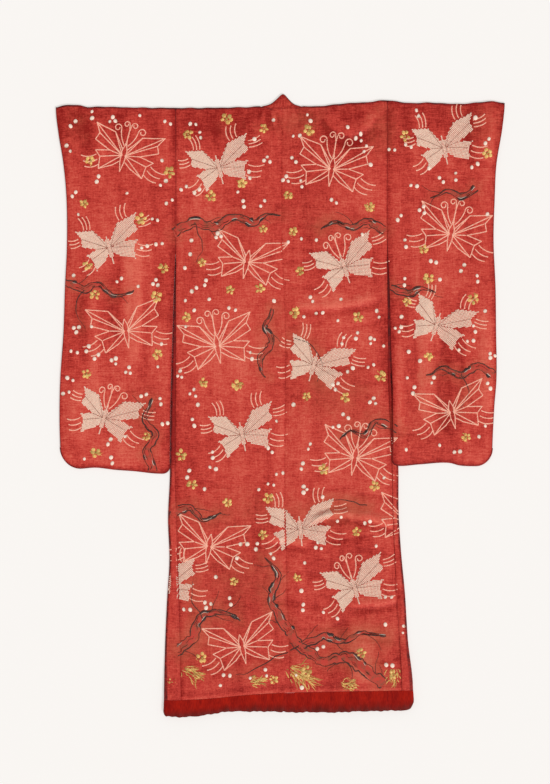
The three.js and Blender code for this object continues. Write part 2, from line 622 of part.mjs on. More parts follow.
const leftHalf = new THREE.Group();
leftHalf.add(
  piece("body_left", bodyLength("left"), figuredSilk),
  piece("overlap_left", overlapPanel("left"), figuredSilk),
  piece("sleeve_left", sleeve("left", leftSleevePlan), figuredSilk),
);
const rightHalf = new THREE.Group();
rightHalf.add(
  piece("body_right", bodyLength("right"), figuredSilk),
  piece("overlap_right", overlapPanel("right"), figuredSilk),
  piece("sleeve_right", sleeve("right", rightSleevePlan), figuredSilk),
);
const kimono = new THREE.Group();
kimono.add(
  leftHalf,
  rightHalf,
  piece("collar", collar(), figuredSilk),
  piece("hem_roll", hemRoll(), plainLining),
);

// The origin is the middle of the footprint, on the ground.
const extent = new THREE.Box3().setFromObject(kimono);
const middle = extent.getCenter(new THREE.Vector3());
kimono.position.set(-middle.x, -middle.y, -extent.min.z);

export default kimono;
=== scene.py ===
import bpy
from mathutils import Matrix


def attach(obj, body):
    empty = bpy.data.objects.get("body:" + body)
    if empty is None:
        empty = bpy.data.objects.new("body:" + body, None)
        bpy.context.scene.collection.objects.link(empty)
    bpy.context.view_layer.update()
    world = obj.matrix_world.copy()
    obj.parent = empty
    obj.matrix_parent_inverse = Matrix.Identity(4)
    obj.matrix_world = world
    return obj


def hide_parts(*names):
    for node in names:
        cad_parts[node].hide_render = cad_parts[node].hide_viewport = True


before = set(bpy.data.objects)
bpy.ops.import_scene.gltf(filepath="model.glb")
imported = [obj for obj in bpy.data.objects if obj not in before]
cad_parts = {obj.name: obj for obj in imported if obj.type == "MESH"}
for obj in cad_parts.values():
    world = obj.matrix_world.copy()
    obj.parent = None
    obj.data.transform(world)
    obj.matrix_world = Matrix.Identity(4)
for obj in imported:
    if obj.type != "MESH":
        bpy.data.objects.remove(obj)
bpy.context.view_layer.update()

# A furisode laid out flat with its back upwards: padded red silk, tie-resist figures and embroidery.
# Places are read as in pattern drafting, in millimetres: x across, and down from the shoulder line
# towards the hem. toFrame turns them into metres in the part's frame.

import math
import bpy
import numpy as np
from types import SimpleNamespace as Sizes

millimetre = 0.001
shoulderMiddle = Sizes(x=-0.77, y=825.26)  # where x and down are nought, in the part's frame


def ease(t):
    t = np.clip(t, 0.0, 1.0)
    return t * t * (3 - 2 * t)


def mix(a, b, t):
    return a + (b - a) * t


def smoothCurve(at, values):  # a smooth curve through a short table, level beyond its ends
    at, values = np.array(at, float), np.array(values, float)
    last = len(at) - 1

    def read(t):
        t = np.clip(np.asarray(t, float), at[0], at[last])
        i = np.clip(np.searchsorted(at, t, side="right"), 1, last)
        t0, t1 = at[i - 1], at[i]
        before = np.where(i > 1, at[np.maximum(i - 2, 0)], 2 * t0 - t1)
        after = np.where(i < last, at[np.minimum(i + 1, last)], 2 * t1 - t0)
        vBefore = np.where(i > 1, values[np.maximum(i - 2, 0)], values[i])
        vAfter = np.where(i < last, values[np.minimum(i + 1, last)], values[i - 1])
        p = (t - t0) / (t1 - t0)
        bendIn = (t1 - t0) / 2 / (t0 - before)
        bendOut = (t1 - t0) / 2 / (after - t1)
        return ((-p**3 + 2 * p**2 - p) * bendIn * vBefore
                + ((1 + bendIn) * p**3 - (1.5 + 2 * bendIn) * p**2 + (bendIn - 0.5) * p + 1) * values[i - 1]
                + (-(1 + bendOut) * p**3 + (1.5 + bendOut) * p**2 + 0.5 * p) * values[i]
                + (p**3 - p**2) * bendOut * vAfter)
    return read


# --- camera, light and floor ---

studio = Sizes(
    lens=100, sensor=36, height=6.01, over=(-0.0145, 0.0372),
    floorSize=14, floorDrop=0.0004, glow=(1, 0.954, 0.911), glowStrength=0.547,
    keyTurn=(44, 0, 32), keyAngle=14, keyStrength=2.02, keyColour=(1.0, 0.982, 0.955),
    skyStrength=0.5, skyColour=(1.0, 0.99, 0.985),
)
scene = bpy.context.scene
scene.view_settings.view_transform = "Standard"


def setCamera():
    data = bpy.data.cameras.new("camera")
    data.lens, data.sensor_width = studio.lens, studio.sensor
    data.clip_start, data.clip_end = 0.05, 60
    camera = bpy.data.objects.new("camera", data)
    scene.collection.objects.link(camera)
    camera.location = (*studio.over, studio.height)  # straight down, the top of the view towards +Y
    scene.camera = camera


def setLights():
    sun = bpy.data.lights.new("key", "SUN")
    sun.energy, sun.angle = studio.keyStrength, math.radians(studio.keyAngle)
    sun.color = studio.keyColour
    key = bpy.data.objects.new("key", sun)
    key.rotation_euler = [math.radians(turn) for turn in studio.keyTurn]
    key.location = (-2, 2, 3)
    scene.collection.objects.link(key)
    world = bpy.data.worlds.new("sky")
    world.use_nodes = True
    background = world.node_tree.nodes["Background"]
    background.inputs["Color"].default_value = (*studio.skyColour, 1)
    background.inputs["Strength"].default_value = studio.skyStrength
    scene.world = world


# --- shader nodes from expressions ---


def paint255(red, green, blue):  # a screen colour as the linear one that nodes take
    def linear(c):
        c = c / 255
        return c / 12.92 if c <= 0.04045 else ((c + 0.055) / 1.055) ** 2.4
    return (linear(red), linear(green), linear(blue), 1)


class Amount:  # a number that varies over a surface
    def __init__(self, nodes, socket):
        self.nodes, self.socket = nodes, socket

    def math(self, operation, first, second=0.0):
        return self.nodes.number("ShaderNodeMath", {"operation": operation}, {0: first, 1: second})

    def __add__(self, other):
        return self.math("ADD", self, other)

    def __radd__(self, other):
        return self.math("ADD", other, self)

    def __sub__(self, other):
        return self.math("SUBTRACT", self, other)

    def __rsub__(self, other):
        return self.math("SUBTRACT", other, self)

    def __mul__(self, other):
        return self.math("MULTIPLY", self, other)

    def __rmul__(self, other):
        return self.math("MULTIPLY", other, self)

    def wave(self):
        return self.math("SINE", self)

    def within(self, low, high):  # 0 below low, 1 above high and smooth between them
        return self.nodes.number(
            "ShaderNodeMapRange", {"interpolation_type": "SMOOTHSTEP"}, {0: self, 1: low, 2: high})


class Finish:  # one material
    def __init__(self, name, **fixed):
        self.material = bpy.data.materials.new(name)
        self.material.use_nodes = True
        self.tree = self.material.node_tree
        self.shader = self.tree.nodes["Principled BSDF"]
        for socket, value in fixed.items():
            self.shader.inputs[socket.replace("_", " ")].default_value = value
        self.place = self.node("ShaderNodeTexCoord", {}, {}).outputs["Object"]

    def node(self, kind, settings, values):
        made = self.tree.nodes.new(kind)
        for name, setting in settings.items():
            setattr(made, name, setting)
        for key, value in values.items():
            self.feed(made.inputs[key], value)
        return made

    def number(self, kind, settings, values):
        return Amount(self, self.node(kind, settings, values).outputs[0])

    def feed(self, socket, value):
        if isinstance(value, Amount):
            value = value.socket
        if isinstance(value, bpy.types.NodeSocket):
            self.tree.links.new(value, socket)
        else:
            socket.default_value = value

    def across(self, stretch):  # places, drawn out or pressed together along each axis
        return self.node("ShaderNodeVectorMath", {"operation": "MULTIPLY"},
                         {0: self.place, 1: stretch}).outputs[0]

    def noise(self, stretch, detail=2.0, rough=0.5):  # stretch is in waves a metre along x, y, z
        return self.number("ShaderNodeTexNoise", {}, {
            "Vector": self.across(stretch), "Scale": 1.0, "Detail": detail, "Roughness": rough})

    def carried(self, name):  # an attribute of the mesh
        made = self.node("ShaderNodeAttribute", {"attribute_name": name}, {})
        return Amount(self, made.outputs["Fac"])

    def axis(self, name):
        return Amount(self, self.node("ShaderNodeSeparateXYZ", {}, {0: self.place}).outputs[name])

    def blend(self, share, a, b):  # of two screen colours, or of blends
        a, b = (paint255(*colour) if isinstance(colour, tuple) else colour for colour in (a, b))
        return self.node("ShaderNodeMix", {"data_type": "RGBA"}, {0: share, 6: a, 7: b}).outputs[2]

    def bump(self, height, distance, strength=1.0):
        made = self.node("ShaderNodeBump", {}, {"Height": height, "Distance": distance, "Strength": strength})
        self.feed(self.shader.inputs["Normal"], made.outputs["Normal"])

    def set(self, **varying):
        for socket, value in varying.items():
            self.feed(self.shader.inputs[socket.replace("_", " ")], value)
        return self.material


# --- the cloth's plan ---

clothSizes = Sizes(
    thickness=2.8, layerGap=1.2, seamGap=0.3, seamSink=0.8, seamSinkWidth=2.6,
    loft=2.6, loftReach=34, foldReach=20, wander=0.5, crinkle=0.22,
)
frontLevel = clothSizes.thickness / 2  # middle of the layer on the ground
foldRadius = (clothSizes.thickness + clothSizes.layerGap) / 2
backLevel = frontLevel + 2 * foldRadius
edgeDepth = foldRadius + clothSizes.thickness / 2  # from a pressed edge to the centre of its curl
topLevel = backLevel + clothSizes.thickness / 2

bodySizes = Sizes(
    sideSeamStart=380, wrapOver=60, hemDown=1640, hemLift=8.8, hemRamp=150,
    besideCentre=6, besideSeam=3, hemFade=60, sinkFrom=12, sinkOver=20,  # of the loft and seams
)
neck = Sizes(x=4, halfWidth=58, depth=9)
bodyPlan = {
    "down": [0, 380, 480, 620, 754, 860, 950, 1030, 1140, 1250, 1370, 1500, 1640],
    "centre": [4, 5, 9, 15, 15, 14, 13, 12, 14, 17, 19, 25, 27],
    "leftSeam": [-287, -287, -287, -287.5, -288, -288.5, -289, -289, -286, -283, -279, -275, -273],
    "leftEdge": [-287, -287, -291.2, -295.5, -299.5, -302, -303, -304, -309, -305, -312, -317.5, -320],
    "rightSeam": [296, 296, 296.4, 298, 298.5, 303, 307, 310, 312, 316, 322, 330, 336],
    "rightEdge": [296, 296, 300.8, 304.5, 309, 318, 325.5, 327, 327.5, 334, 345, 353, 367],
}
hemPlan = {
    "x": [-320, -285, -240, -190, -130, -60, 30, 160, 280, 367],
    "seam": [1637, 1637, 1635, 1632, 1626, 1620, 1616, 1613, 1611, 1610],
    "foot": [1680, 1684, 1682, 1675, 1668, 1668, 1670, 1670, 1666, 1666],
}
shoulderLine = Sizes(
    x=[-618, -600, -552, -530, -487, -455, -90, -56, 62, 90, 137, 165, 247, 296, 345, 430, 468, 520, 585,
          619],
    rise=[-2, 2, 3, -2, -0.5, -2, -2, 0, 0, 0, 3, 7, 12, 17, 10, 10, 7, 8, 14, 9],
    ripple=0.9, spread=90,  # the unevenness dies out this far down
)
sleeves = {
    "left": {
        "down": [0, 80, 150, 240, 380, 500, 620, 754, 865, 1014],
        "inner": [-287.3, -287.3, -287.3, -287.3, -288.2, -292.8, -296.6, -300.6, -303.2, -305],
        "outer": [-618, -610, -598.5, -589.5, -587.5, -593, -597, -606, -608, -604],
        "footX": [-608, -552, -510, -455, -400, -345, -300],
        "foot": [1000, 1000, 997, 1003, 1007, 1013, 1014],
        "cuffRadius": 56, "bodyRadius": 20, "lift": 0,
    },
    "right": {
        "down": [0, 60, 160, 260, 370, 500, 620, 754, 830, 992],
        "inner": [296.3, 296.3, 296.3, 296.4, 297.2, 302.4, 305.6, 310.2, 311, 311],
        "outer": [619.5, 614, 597, 592, 589, 594.5, 596, 597, 591, 585],
        "footX": [305, 330, 385, 468, 496, 545, 592],
        "foot": [988, 992, 988, 984, 991, 993, 992],
        "cuffRadius": 46, "bodyRadius": 7, "lift": 8.2,  # its corner lies on the edge of the body
    },
}
sleeveSizes = Sizes(
    cuffOpening=230, footAt=950, liftFrom=680, liftTo=780, liftWidth=30, liftClear=4,
    besideBody=5, footLoft=0.8, pinchFrom=0.93, pinchOver=0.06, pinchDown=20,  # of loft and cuff
)

centreAt = smoothCurve(bodyPlan["down"], bodyPlan["centre"])
riseAt = smoothCurve(shoulderLine.x, shoulderLine.rise)
hemSeamAt = smoothCurve(hemPlan["x"], hemPlan["seam"])
hemFootAt = smoothCurve(hemPlan["x"], hemPlan["foot"])


def besideBody(side, sign):  # a sleeve's inner edge, which keeps close to the body's edge beside it
    edgeAt = smoothCurve(bodyPlan["down"], bodyPlan[side + "Edge"])
    ownAt = smoothCurve(sleeves[side]["down"], sleeves[side]["inner"])
    return lambda down: sign * np.minimum(sign * ownAt(down), sign * edgeAt(down) + clothSizes.seamGap)


sides = {
    side: {
        "sign": sign,
        "seamAt": smoothCurve(bodyPlan["down"], bodyPlan[side + "Seam"]),
        "edgeAt": smoothCurve(bodyPlan["down"], bodyPlan[side + "Edge"]),
        "innerAt": besideBody(side, sign),
        "outerAt": smoothCurve(sleeves[side]["down"], sleeves[side]["outer"]),
        "footAt": smoothCurve(sleeves[side]["footX"], sleeves[side]["foot"]),
    }
    for side, sign in (("left", -1), ("right", 1))
}


def planY(x, down):
    rise = riseAt(x) + shoulderLine.ripple * np.sin(x / 8.3) * np.sin(x / 41 + 1)
    return -down + rise * np.exp(-((down / shoulderLine.spread) ** 2))


def toFrame(x, y, z):  # millimetres on the plan to metres in the part's frame
    places = np.broadcast_arrays(x + shoulderMiddle.x, y + shoulderMiddle.y, z)
    return np.stack(places, axis=-1) * millimetre


def laidAt(x, down, z):  # the same for a place on the cloth
    return toFrame(x, planY(x, down), z)


# A crease has x and down where it starts, the same where it ends, its bow sideways, height and width.
# A negative height is a trough.
mainCreases = [
    (112, 30, 268, 62, 52, -2.6, 12), (118, 8, 262, 40, 46, 4.5, 17),  # a swag below the right shoulder
    (-34, 14, -15, 66, 4, -2.4, 8), (-60, 24, -42, 90, 4, 2, 12),
    (8, 428, 112, 418, 5, -2, 7), (26, 566, 290, 540, 14, -2.4, 8), (40, 548, 270, 520, 12, 2.6, 11),
    (55, 726, 290, 704, 10, -2, 8), (282, 560, 287, 770, 0, -2.2, 9),
    (96, 1124, 196, 1106, -8, -2.4, 6), (84, 1143, 205, 1124, -10, 8, 10),  # tented folds of the skirt
    (205, 1124, 326, 1162, -8, 6.5, 10), (80, 1163, 200, 1144, -8, -2.8, 7),
    (200, 1148, 326, 1184, -6, -2.6, 8), (-40, 1210, 72, 1228, -4, -2.6, 9), (-34, 1190, 84, 1206, -5, 4, 12),
    (-14, 1368, 112, 1384, -5, -2.2, 8), (188, 1388, 338, 1371, 6, -2.6, 8),
    (186, 1370, 338, 1352, 6, 4.2, 11), (178, 1415, 184, 1604, 4, -2.2, 12),
    (226, 1420, 232, 1600, 4, 2.4, 26), (-305, 1500, -220, 1512, 3, -2, 8),
    (-560, 12, -520, 130, 6, -2.4, 15), (-448, 330, -452, 640, 6, -2.2, 17),  # down the left sleeve
    (-410, 340, -404, 700, -8, 3, 20), (-334, 420, -330, 590, 4, -2.2, 13),
    (-560, 760, -556, 930, 5, 2.4, 22),
    (408, 500, 404, 880, 8, 3.2, 18), (454, 600, 456, 900, 6, -2.2, 15),  # and down the right one
    (560, 560, 566, 840, -6, 3, 18), (348, 470, 340, 620, 5, -2, 13),
]
smallCreases = [
    (20, 392, 150, 398, 3, -1.1, 5), (30, 455, 205, 436, 7, -1.4, 5), (120, 470, 262, 462, 5, -1.0, 5),
    (16, 500, 128, 508, -4, -1.2, 5), (60, 530, 190, 518, 4, 1.2, 7), (22, 604, 120, 596, 4, -1.1, 5),
    (150, 612, 286, 590, 6, -1.3, 5), (18, 645, 96, 640, 3, -0.9, 5), (-92, 405, -8, 412, 3, -0.9, 5),
    (-120, 470, -6, 462, 4, -1.0, 5), (-60, 540, 2, 536, 2, -0.9, 5), (-180, 610, -20, 598, 5, -0.8, 6),
    (-270, 455, -190, 470, -3, -0.9, 6), (-275, 700, -214, 690, 3, -1.0, 6),
    (-268, 880, -190, 894, -4, -1.0, 6), (196, 770, 292, 752, 4, -1.2, 6), (26, 800, 110, 812, -4, -0.9, 6),
    (150, 930, 300, 912, 6, -1.2, 6), (24, 980, 150, 990, -4, -0.9, 6), (-250, 1040, -140, 1052, -5, -1.0, 7),
    (-120, 950, -12, 940, 4, -0.8, 6), (60, 1060, 200, 1046, 6, -1.2, 6), (210, 1072, 318, 1090, -5, -1.4, 6),
    (-200, 1150, -80, 1162, -5, -1.0, 7), (110, 1200, 240, 1186, 5, -1.4, 7),
    (220, 1226, 326, 1246, -5, -1.2, 7), (-240, 1262, -110, 1250, 5, -1.0, 7),
    (30, 1290, 170, 1300, -5, -1.2, 7), (-262, 1400, -160, 1388, 4, -1.0, 7),
    (40, 1440, 170, 1430, 5, -1.1, 6), (-262, 1470, -196, 1486, 3, -1.4, 6),
    (-120, 1520, 10, 1532, -4, -0.9, 7), (210, 1470, 330, 1484, -5, -1.2, 7),
    (250, 1530, 340, 1520, 4, -1.3, 6), (60, 1560, 160, 1570, -4, -0.9, 6),
    (-260, 1560, -190, 1548, 3, -1.2, 6), (-52, 12, -62, 60, 3, -2, 4.5), (-42, 14, -48, 66, 2, 2.2, 4.5),
    (-31, 15, -33, 68, 2, -2.6, 4.5), (-20, 15, -16, 62, -2, 2.4, 4.5), (-11, 16, -2, 58, -2, -2.2, 4.5),
    (26, 14, 20, 60, -3, -1.3, 5), (52, 14, 62, 48, 3, -1.2, 5), (-84, 12, -100, 60, 3, -1.1, 6),
    (84, 10, 104, 50, 3, -1.3, 6), (150, 96, 270, 84, 14, -1.6, 8), (30, 112, 96, 120, -3, -0.9, 6),
    (-240, 60, -150, 74, -4, -0.9, 7), (-150, 130, -40, 140, -4, -0.8, 7), (60, 190, 180, 204, -5, -0.8, 7),
    (-220, 240, -120, 228, 4, -0.8, 7), (170, 300, 280, 318, -5, -1.0, 7), (-250, 350, -160, 342, 3, -0.8, 6),
    (40, 330, 130, 340, -4, -0.8, 6), (-588, 250, -500, 262, -4, -1.1, 7), (-560, 420, -470, 408, 4, -0.9, 7),
    (-400, 220, -300, 232, -4, -0.9, 7), (-590, 600, -520, 612, -4, -0.9, 7),
    (-470, 790, -380, 780, 4, -0.9, 7), (-600, 880, -540, 892, -3, -1.0, 6),
    (-380, 930, -316, 920, 3, -1.1, 6), (-500, 20, -486, 150, 5, 1.6, 14), (-450, 14, -440, 120, 4, -1.2, 10),
    (-400, 16, -396, 90, 3, 1.2, 10), (-340, 14, -332, 120, 3, -1.2, 10), (-512, 480, -506, 860, 6, 1.5, 16),
    (-545, 520, -540, 700, 4, -1.3, 12), (-372, 480, -366, 800, 5, -1.3, 12),
    (-312, 640, -316, 900, -4, 1.4, 10), (330, 90, 420, 78, 4, -1.0, 7), (470, 150, 580, 166, -5, -0.9, 7),
    (330, 260, 430, 272, -4, -0.9, 7), (520, 420, 585, 410, 3, -0.9, 7), (330, 700, 420, 690, 4, -0.9, 7),
    (500, 760, 585, 772, -4, -0.9, 7), (320, 905, 400, 916, -3, -1.2, 6), (420, 950, 520, 940, 4, -1.0, 6),
    (500, 500, 506, 800, 5, -1.4, 13), (380, 560, 374, 860, 5, -1.2, 11), (330, 640, 326, 900, 4, 1.4, 12),
    (520, 18, 530, 150, 5, -1.2, 12), (590, 20, 580, 160, 4, 1.4, 10), (350, 10, 340, 120, -4, -1.4, 12),
    (430, 420, 436, 700, -5, 1.3, 12),
]
creases = mainCreases + smallCreases
creaseEnds = Sizes(past=0.08, fade=0.25, reach=3)  # shares of a crease's length, and widths beside it


def creaseRise(x, down):
    total = np.zeros_like(x)
    past, fadeOver = creaseEnds.past, creaseEnds.fade
    for fromX, fromDown, toX, toDown, bow, height, width in creases:
        alongX, alongDown = toX - fromX, toDown - fromDown
        length = math.hypot(alongX, alongDown)
        share = ((x - fromX) * alongX + (down - fromDown) * alongDown) / length**2
        off = (alongX * (down - fromDown) - alongDown * (x - fromX)) / length - bow * 4 * share * (1 - share)
        near = (share > -past) & (share < 1 + past) & (np.abs(off) < creaseEnds.reach * width)
        fade = ease((share[near] + past) / fadeOver) * ease((1 + past - share[near]) / fadeOver)
        total[near] += height * fade * np.exp(-((off[near] / width) ** 2))
    return total


def loftRise(x, down, inside):  # rise of the upper layer, for a point `inside` its nearest edge
    wander = clothSizes.wander * (np.sin(x / 61 + down / 173) + np.sin(down / 97 - x / 140))
    crinkle = clothSizes.crinkle * np.sin(x / 13 + 2 * np.sin(down / 31)) * np.sin(down / 9 + x / 57)
    loft = (clothSizes.loft + wander) * ease(inside / clothSizes.loftReach)
    return np.maximum(0, loft + (creaseRise(x, down) + crinkle) * ease(inside / clothSizes.foldReach))


def seamSink(distance):
    return clothSizes.seamSink * np.exp(-((distance / clothSizes.seamSinkWidth) ** 2))


def hemLift(x, down):
    rampFrom = hemSeamAt(x) - bodySizes.hemRamp
    return bodySizes.hemLift * ease((down - rampFrom) / bodySizes.hemRamp)


def bodyRise(side, x, down):  # over the back's level
    seam = sides[side]["seamAt"](down)
    fromCentre, fromSeam = np.abs(x - centreAt(down)), np.abs(x - seam)
    inside = np.minimum(fromCentre + bodySizes.besideCentre, fromSeam + bodySizes.besideSeam)
    inside = np.minimum(inside, down)
    height = loftRise(x, down, inside) * ease((hemSeamAt(x) - down) / bodySizes.hemFade)
    sink = seamSink(np.minimum(fromCentre, fromSeam)) * ease((down - bodySizes.sinkFrom) / bodySizes.sinkOver)
    onBack = (seam - x) * sides[side]["sign"] > 0
    return (height - sink) * onBack + hemLift(x, down)


def sleeveFootAt(side, share):
    plan, shape = sleeves[side], sides[side]
    width = abs(shape["outerAt"](sleeveSizes.footAt) - shape["innerAt"](sleeveSizes.footAt))
    x = mix(shape["innerAt"](sleeveSizes.footAt), shape["outerAt"](sleeveSizes.footAt), share)

    def corner(distance, radius):
        into = np.clip(radius - distance, 0, radius)
        return radius - np.sqrt(radius**2 - into**2)
    return (shape["footAt"](x) - corner((1 - share) * width, plan["cuffRadius"])
            - corner(share * width, plan["bodyRadius"]))


def sleeveLift(side, x, down):
    along = ease((down - sleeveSizes.liftFrom) / (sleeveSizes.liftTo - sleeveSizes.liftFrom))
    flatFrom = sides[side]["edgeAt"](down) + sleeveSizes.liftWidth + sleeveSizes.liftClear
    beside = ease((flatFrom - x) / sleeveSizes.liftWidth)
    return sleeves[side]["lift"] * along * beside


def sleeveShare(side, x, down):
    inner, outer = sides[side]["innerAt"](down), sides[side]["outerAt"](down)
    return np.clip((x - inner) / (outer - inner), 0, 1)


def sleeveRise(side, x, down):
    share = sleeveShare(side, x, down)
    end = sleeveFootAt(side, share) - edgeDepth
    fromInner, fromOuter = (np.abs(x - sides[side][edge](down)) for edge in ("innerAt", "outerAt"))
    inside = np.minimum.reduce([fromInner + sleeveSizes.besideBody, fromOuter, down + 0 * x,
                                (end - down) * sleeveSizes.footLoft])
    belowCuff = ease((down - sleeveSizes.cuffOpening) / sleeveSizes.pinchDown)
    atSeam = ease((share - sleeveSizes.pinchFrom) / sleeveSizes.pinchOver)
    pinch = (clothSizes.layerGap - clothSizes.seamGap) * belowCuff * atSeam
    return loftRise(x, down, np.maximum(0, inside)) - pinch + sleeveLift(side, x, down)


panelNames = ("sleeve_left", "body_left", "body_right", "sleeve_right")


def panelAt(x, down):  # which piece shows at a place: an index into panelNames, or -1 off the garment
    found = np.full(x.shape, -1)
    edges = {side: sides[side]["edgeAt"](down) for side in sides}
    onBody = (x > edges["left"]) & (x < edges["right"]) & (down > 2) & (down < hemSeamAt(x) - 1)
    found[onBody & (x < centreAt(down))] = 1
    found[onBody & (x >= centreAt(down))] = 2
    for side, index in (("left", 0), ("right", 3)):
        sign, innerAt, outerAt = (sides[side][key] for key in ("sign", "innerAt", "outerAt"))
        across = ((x - innerAt(down)) * sign > 0) & ((outerAt(down) - x) * sign > 0)
        foot = sleeveFootAt(side, sleeveShare(side, x, down))
        found[across & (down > 2) & (down < foot)] = index
    return found


def topAt(x, down, panel):  # height of the garment's upper face in millimetres
    z = np.full(x.shape, topLevel)
    for index, rise in enumerate((sleeveRise, bodyRise, bodyRise, sleeveRise)):
        here = panel == index
        if here.any():
            z[here] += rise(panelNames[index].split("_")[1], x[here], down[here])
    return z


def marginAt(x, down, panel):  # distance to the nearest seam or edge of the piece that shows
    left, right = sides["left"], sides["right"]
    lines = {
        0: (left["innerAt"], left["outerAt"]),
        1: (centreAt, left["seamAt"], left["edgeAt"]),
        2: (centreAt, right["seamAt"], right["edgeAt"]),
        3: (right["innerAt"], right["outerAt"]),
    }
    margin = np.full(x.shape, -1.0)
    for index, curves in lines.items():
        here = panel == index
        if not here.any():
            continue
        gaps = [np.abs(x[here] - curve(down[here])) for curve in curves]
        side = "left" if index < 2 else "right"
        foot = hemSeamAt(x[here])
        if index in (0, 3):
            foot = sleeveFootAt(side, sleeveShare(side, x[here], down[here]))
        margin[here] = np.minimum.reduce(gaps + [foot - down[here], down[here]])
    return margin


# --- embroidered branches, which also stain the silk round them ---

boughs = [  # each place is x, down and half width
    [(-292, 352, 12), (-236, 322, 11), (-176, 338, 12), (-128, 306, 8), (-74, 322, 7), (-38, 296, 5),
     (0, 304, 4)],
    [(290, 345, 9), (246, 318, 8), (204, 336, 7), (150, 322, 5), (112, 338, 3)],
    [(-20, 560, 4), (-46, 604, 6), (-24, 650, 7), (-52, 700, 8), (-40, 748, 6)],
    [(286, 1592, 16), (236, 1548, 14), (170, 1522, 12), (108, 1524, 11), (52, 1486, 12), (6, 1424, 11),
     (-22, 1350, 10), (-14, 1290, 8), (-40, 1244, 5)],
    [(60, 1486, 10), (112, 1462, 9), (176, 1474, 7), (232, 1452, 5), (292, 1462, 3)],
    [(-286, 1500, 13), (-240, 1466, 12), (-214, 1412, 9), (-162, 1400, 7), (-110, 1420, 4)],
    [(-300, 1130, 9), (-250, 1104, 8), (-214, 1136, 6), (-160, 1128, 3)],
    [(322, 890, 8), (270, 868, 8), (232, 902, 6), (196, 892, 4), (160, 914, 3)],
    [(-592, 486, 9), (-540, 508, 9), (-508, 492, 7), (-452, 518, 5), (-404, 506, 3)],
    [(-352, 1004, 9), (-366, 956, 10), (-344, 906, 8), (-372, 858, 6), (-352, 806, 3)],
    [(588, 742, 10), (540, 716, 9), (500, 738, 8), (446, 722, 6), (404, 744, 3)],
    [(306, 500, 7), (352, 520, 8), (392, 498, 6), (430, 512, 3)],
    [(540, 225, 7), (500, 248, 7), (452, 232, 5), (414, 252, 3)],
]
twigs = [
    [(40, 640, 1.6), (92, 664, 1.4), (120, 716, 1.2), (104, 760, 1)],
    [(-236, 322, 1.6), (-216, 380, 1.4), (-232, 430, 1)],
    [(-214, 1412, 1.8), (-250, 1360, 1.4), (-240, 1310, 1)],
    [(240, 1100, 1.6), (180, 1082, 1.5), (130, 1096, 1)],
    [(170, 1522, 1.8), (196, 1570, 1.4), (180, 1600, 1)],
    [(-540, 508, 1.6), (-560, 566, 1.4), (-536, 612, 1)],
    [(500, 738, 1.6), (520, 790, 1.4), (498, 830, 1)],
    [(52, 1486, 1.8), (-40, 1530, 1.6), (-120, 1570, 1.2)],
]
branchLook = Sizes(
    step=3.5, outline=1.4, rise=1.1, barkRise=0.4, wobble=0.3, kinks=((37, 7.5), (13, 2.2)),
    taper=60, knotHalf=4.4, twigHalf=0.85, twigLength=(24, 62), grainHalf=0.7, leastHalf=0.7,
    knotEvery=75, grainEvery=30, twigEvery=110,
)


def goneAlong(line):  # the length from a line's start to each of its points
    return np.concatenate([[0], np.cumsum(np.hypot(*np.diff(line[:, :2], axis=0).T))])


def wayAlong(line):
    way = np.gradient(line[:, :2], axis=0)
    return way / np.maximum(np.hypot(*way.T), 1e-6)[:, None]


def smoothPath(points, step):  # a list of places as a smooth line with a point every step
    points = np.array(points, float)
    gone = goneAlong(points)
    at = np.linspace(0, gone[-1], max(4, round(gone[-1] / step) + 1))
    return np.stack([smoothCurve(gone, column)(at) for column in points.T], axis=1), at


def unevenness(at, apart, draw):  # a random value every so far along a line, joined by straight stretches
    places = np.arange(0, at[-1] + apart, apart)
    return np.interp(at, places, draw.uniform(-1, 1, len(places)))


def gnarled(line, at, draw):  # bends a smooth line at random places and thins it towards its end
    way = wayAlong(line)
    kinks = sum(unevenness(at, apart, draw) * size for apart, size in branchLook.kinks) * ease(at / 30)
    half = line[:, 2] * np.clip((at[-1] - at) / branchLook.taper, 0.12, 1)
    return np.column_stack([line[:, 0] - way[:, 1] * kinks, line[:, 1] + way[:, 0] * kinks, half])


kinkDraw = np.random.default_rng(17)
branches = []
for kind, paths in (("bough", boughs), ("twig", twigs)):
    for path in paths:
        smooth, at = smoothPath(path, branchLook.step)
        branches.append({"kind": kind, "at": at, "line": gnarled(smooth, at, kinkDraw)})
branchPoints = np.concatenate([branch["line"] for branch in branches])

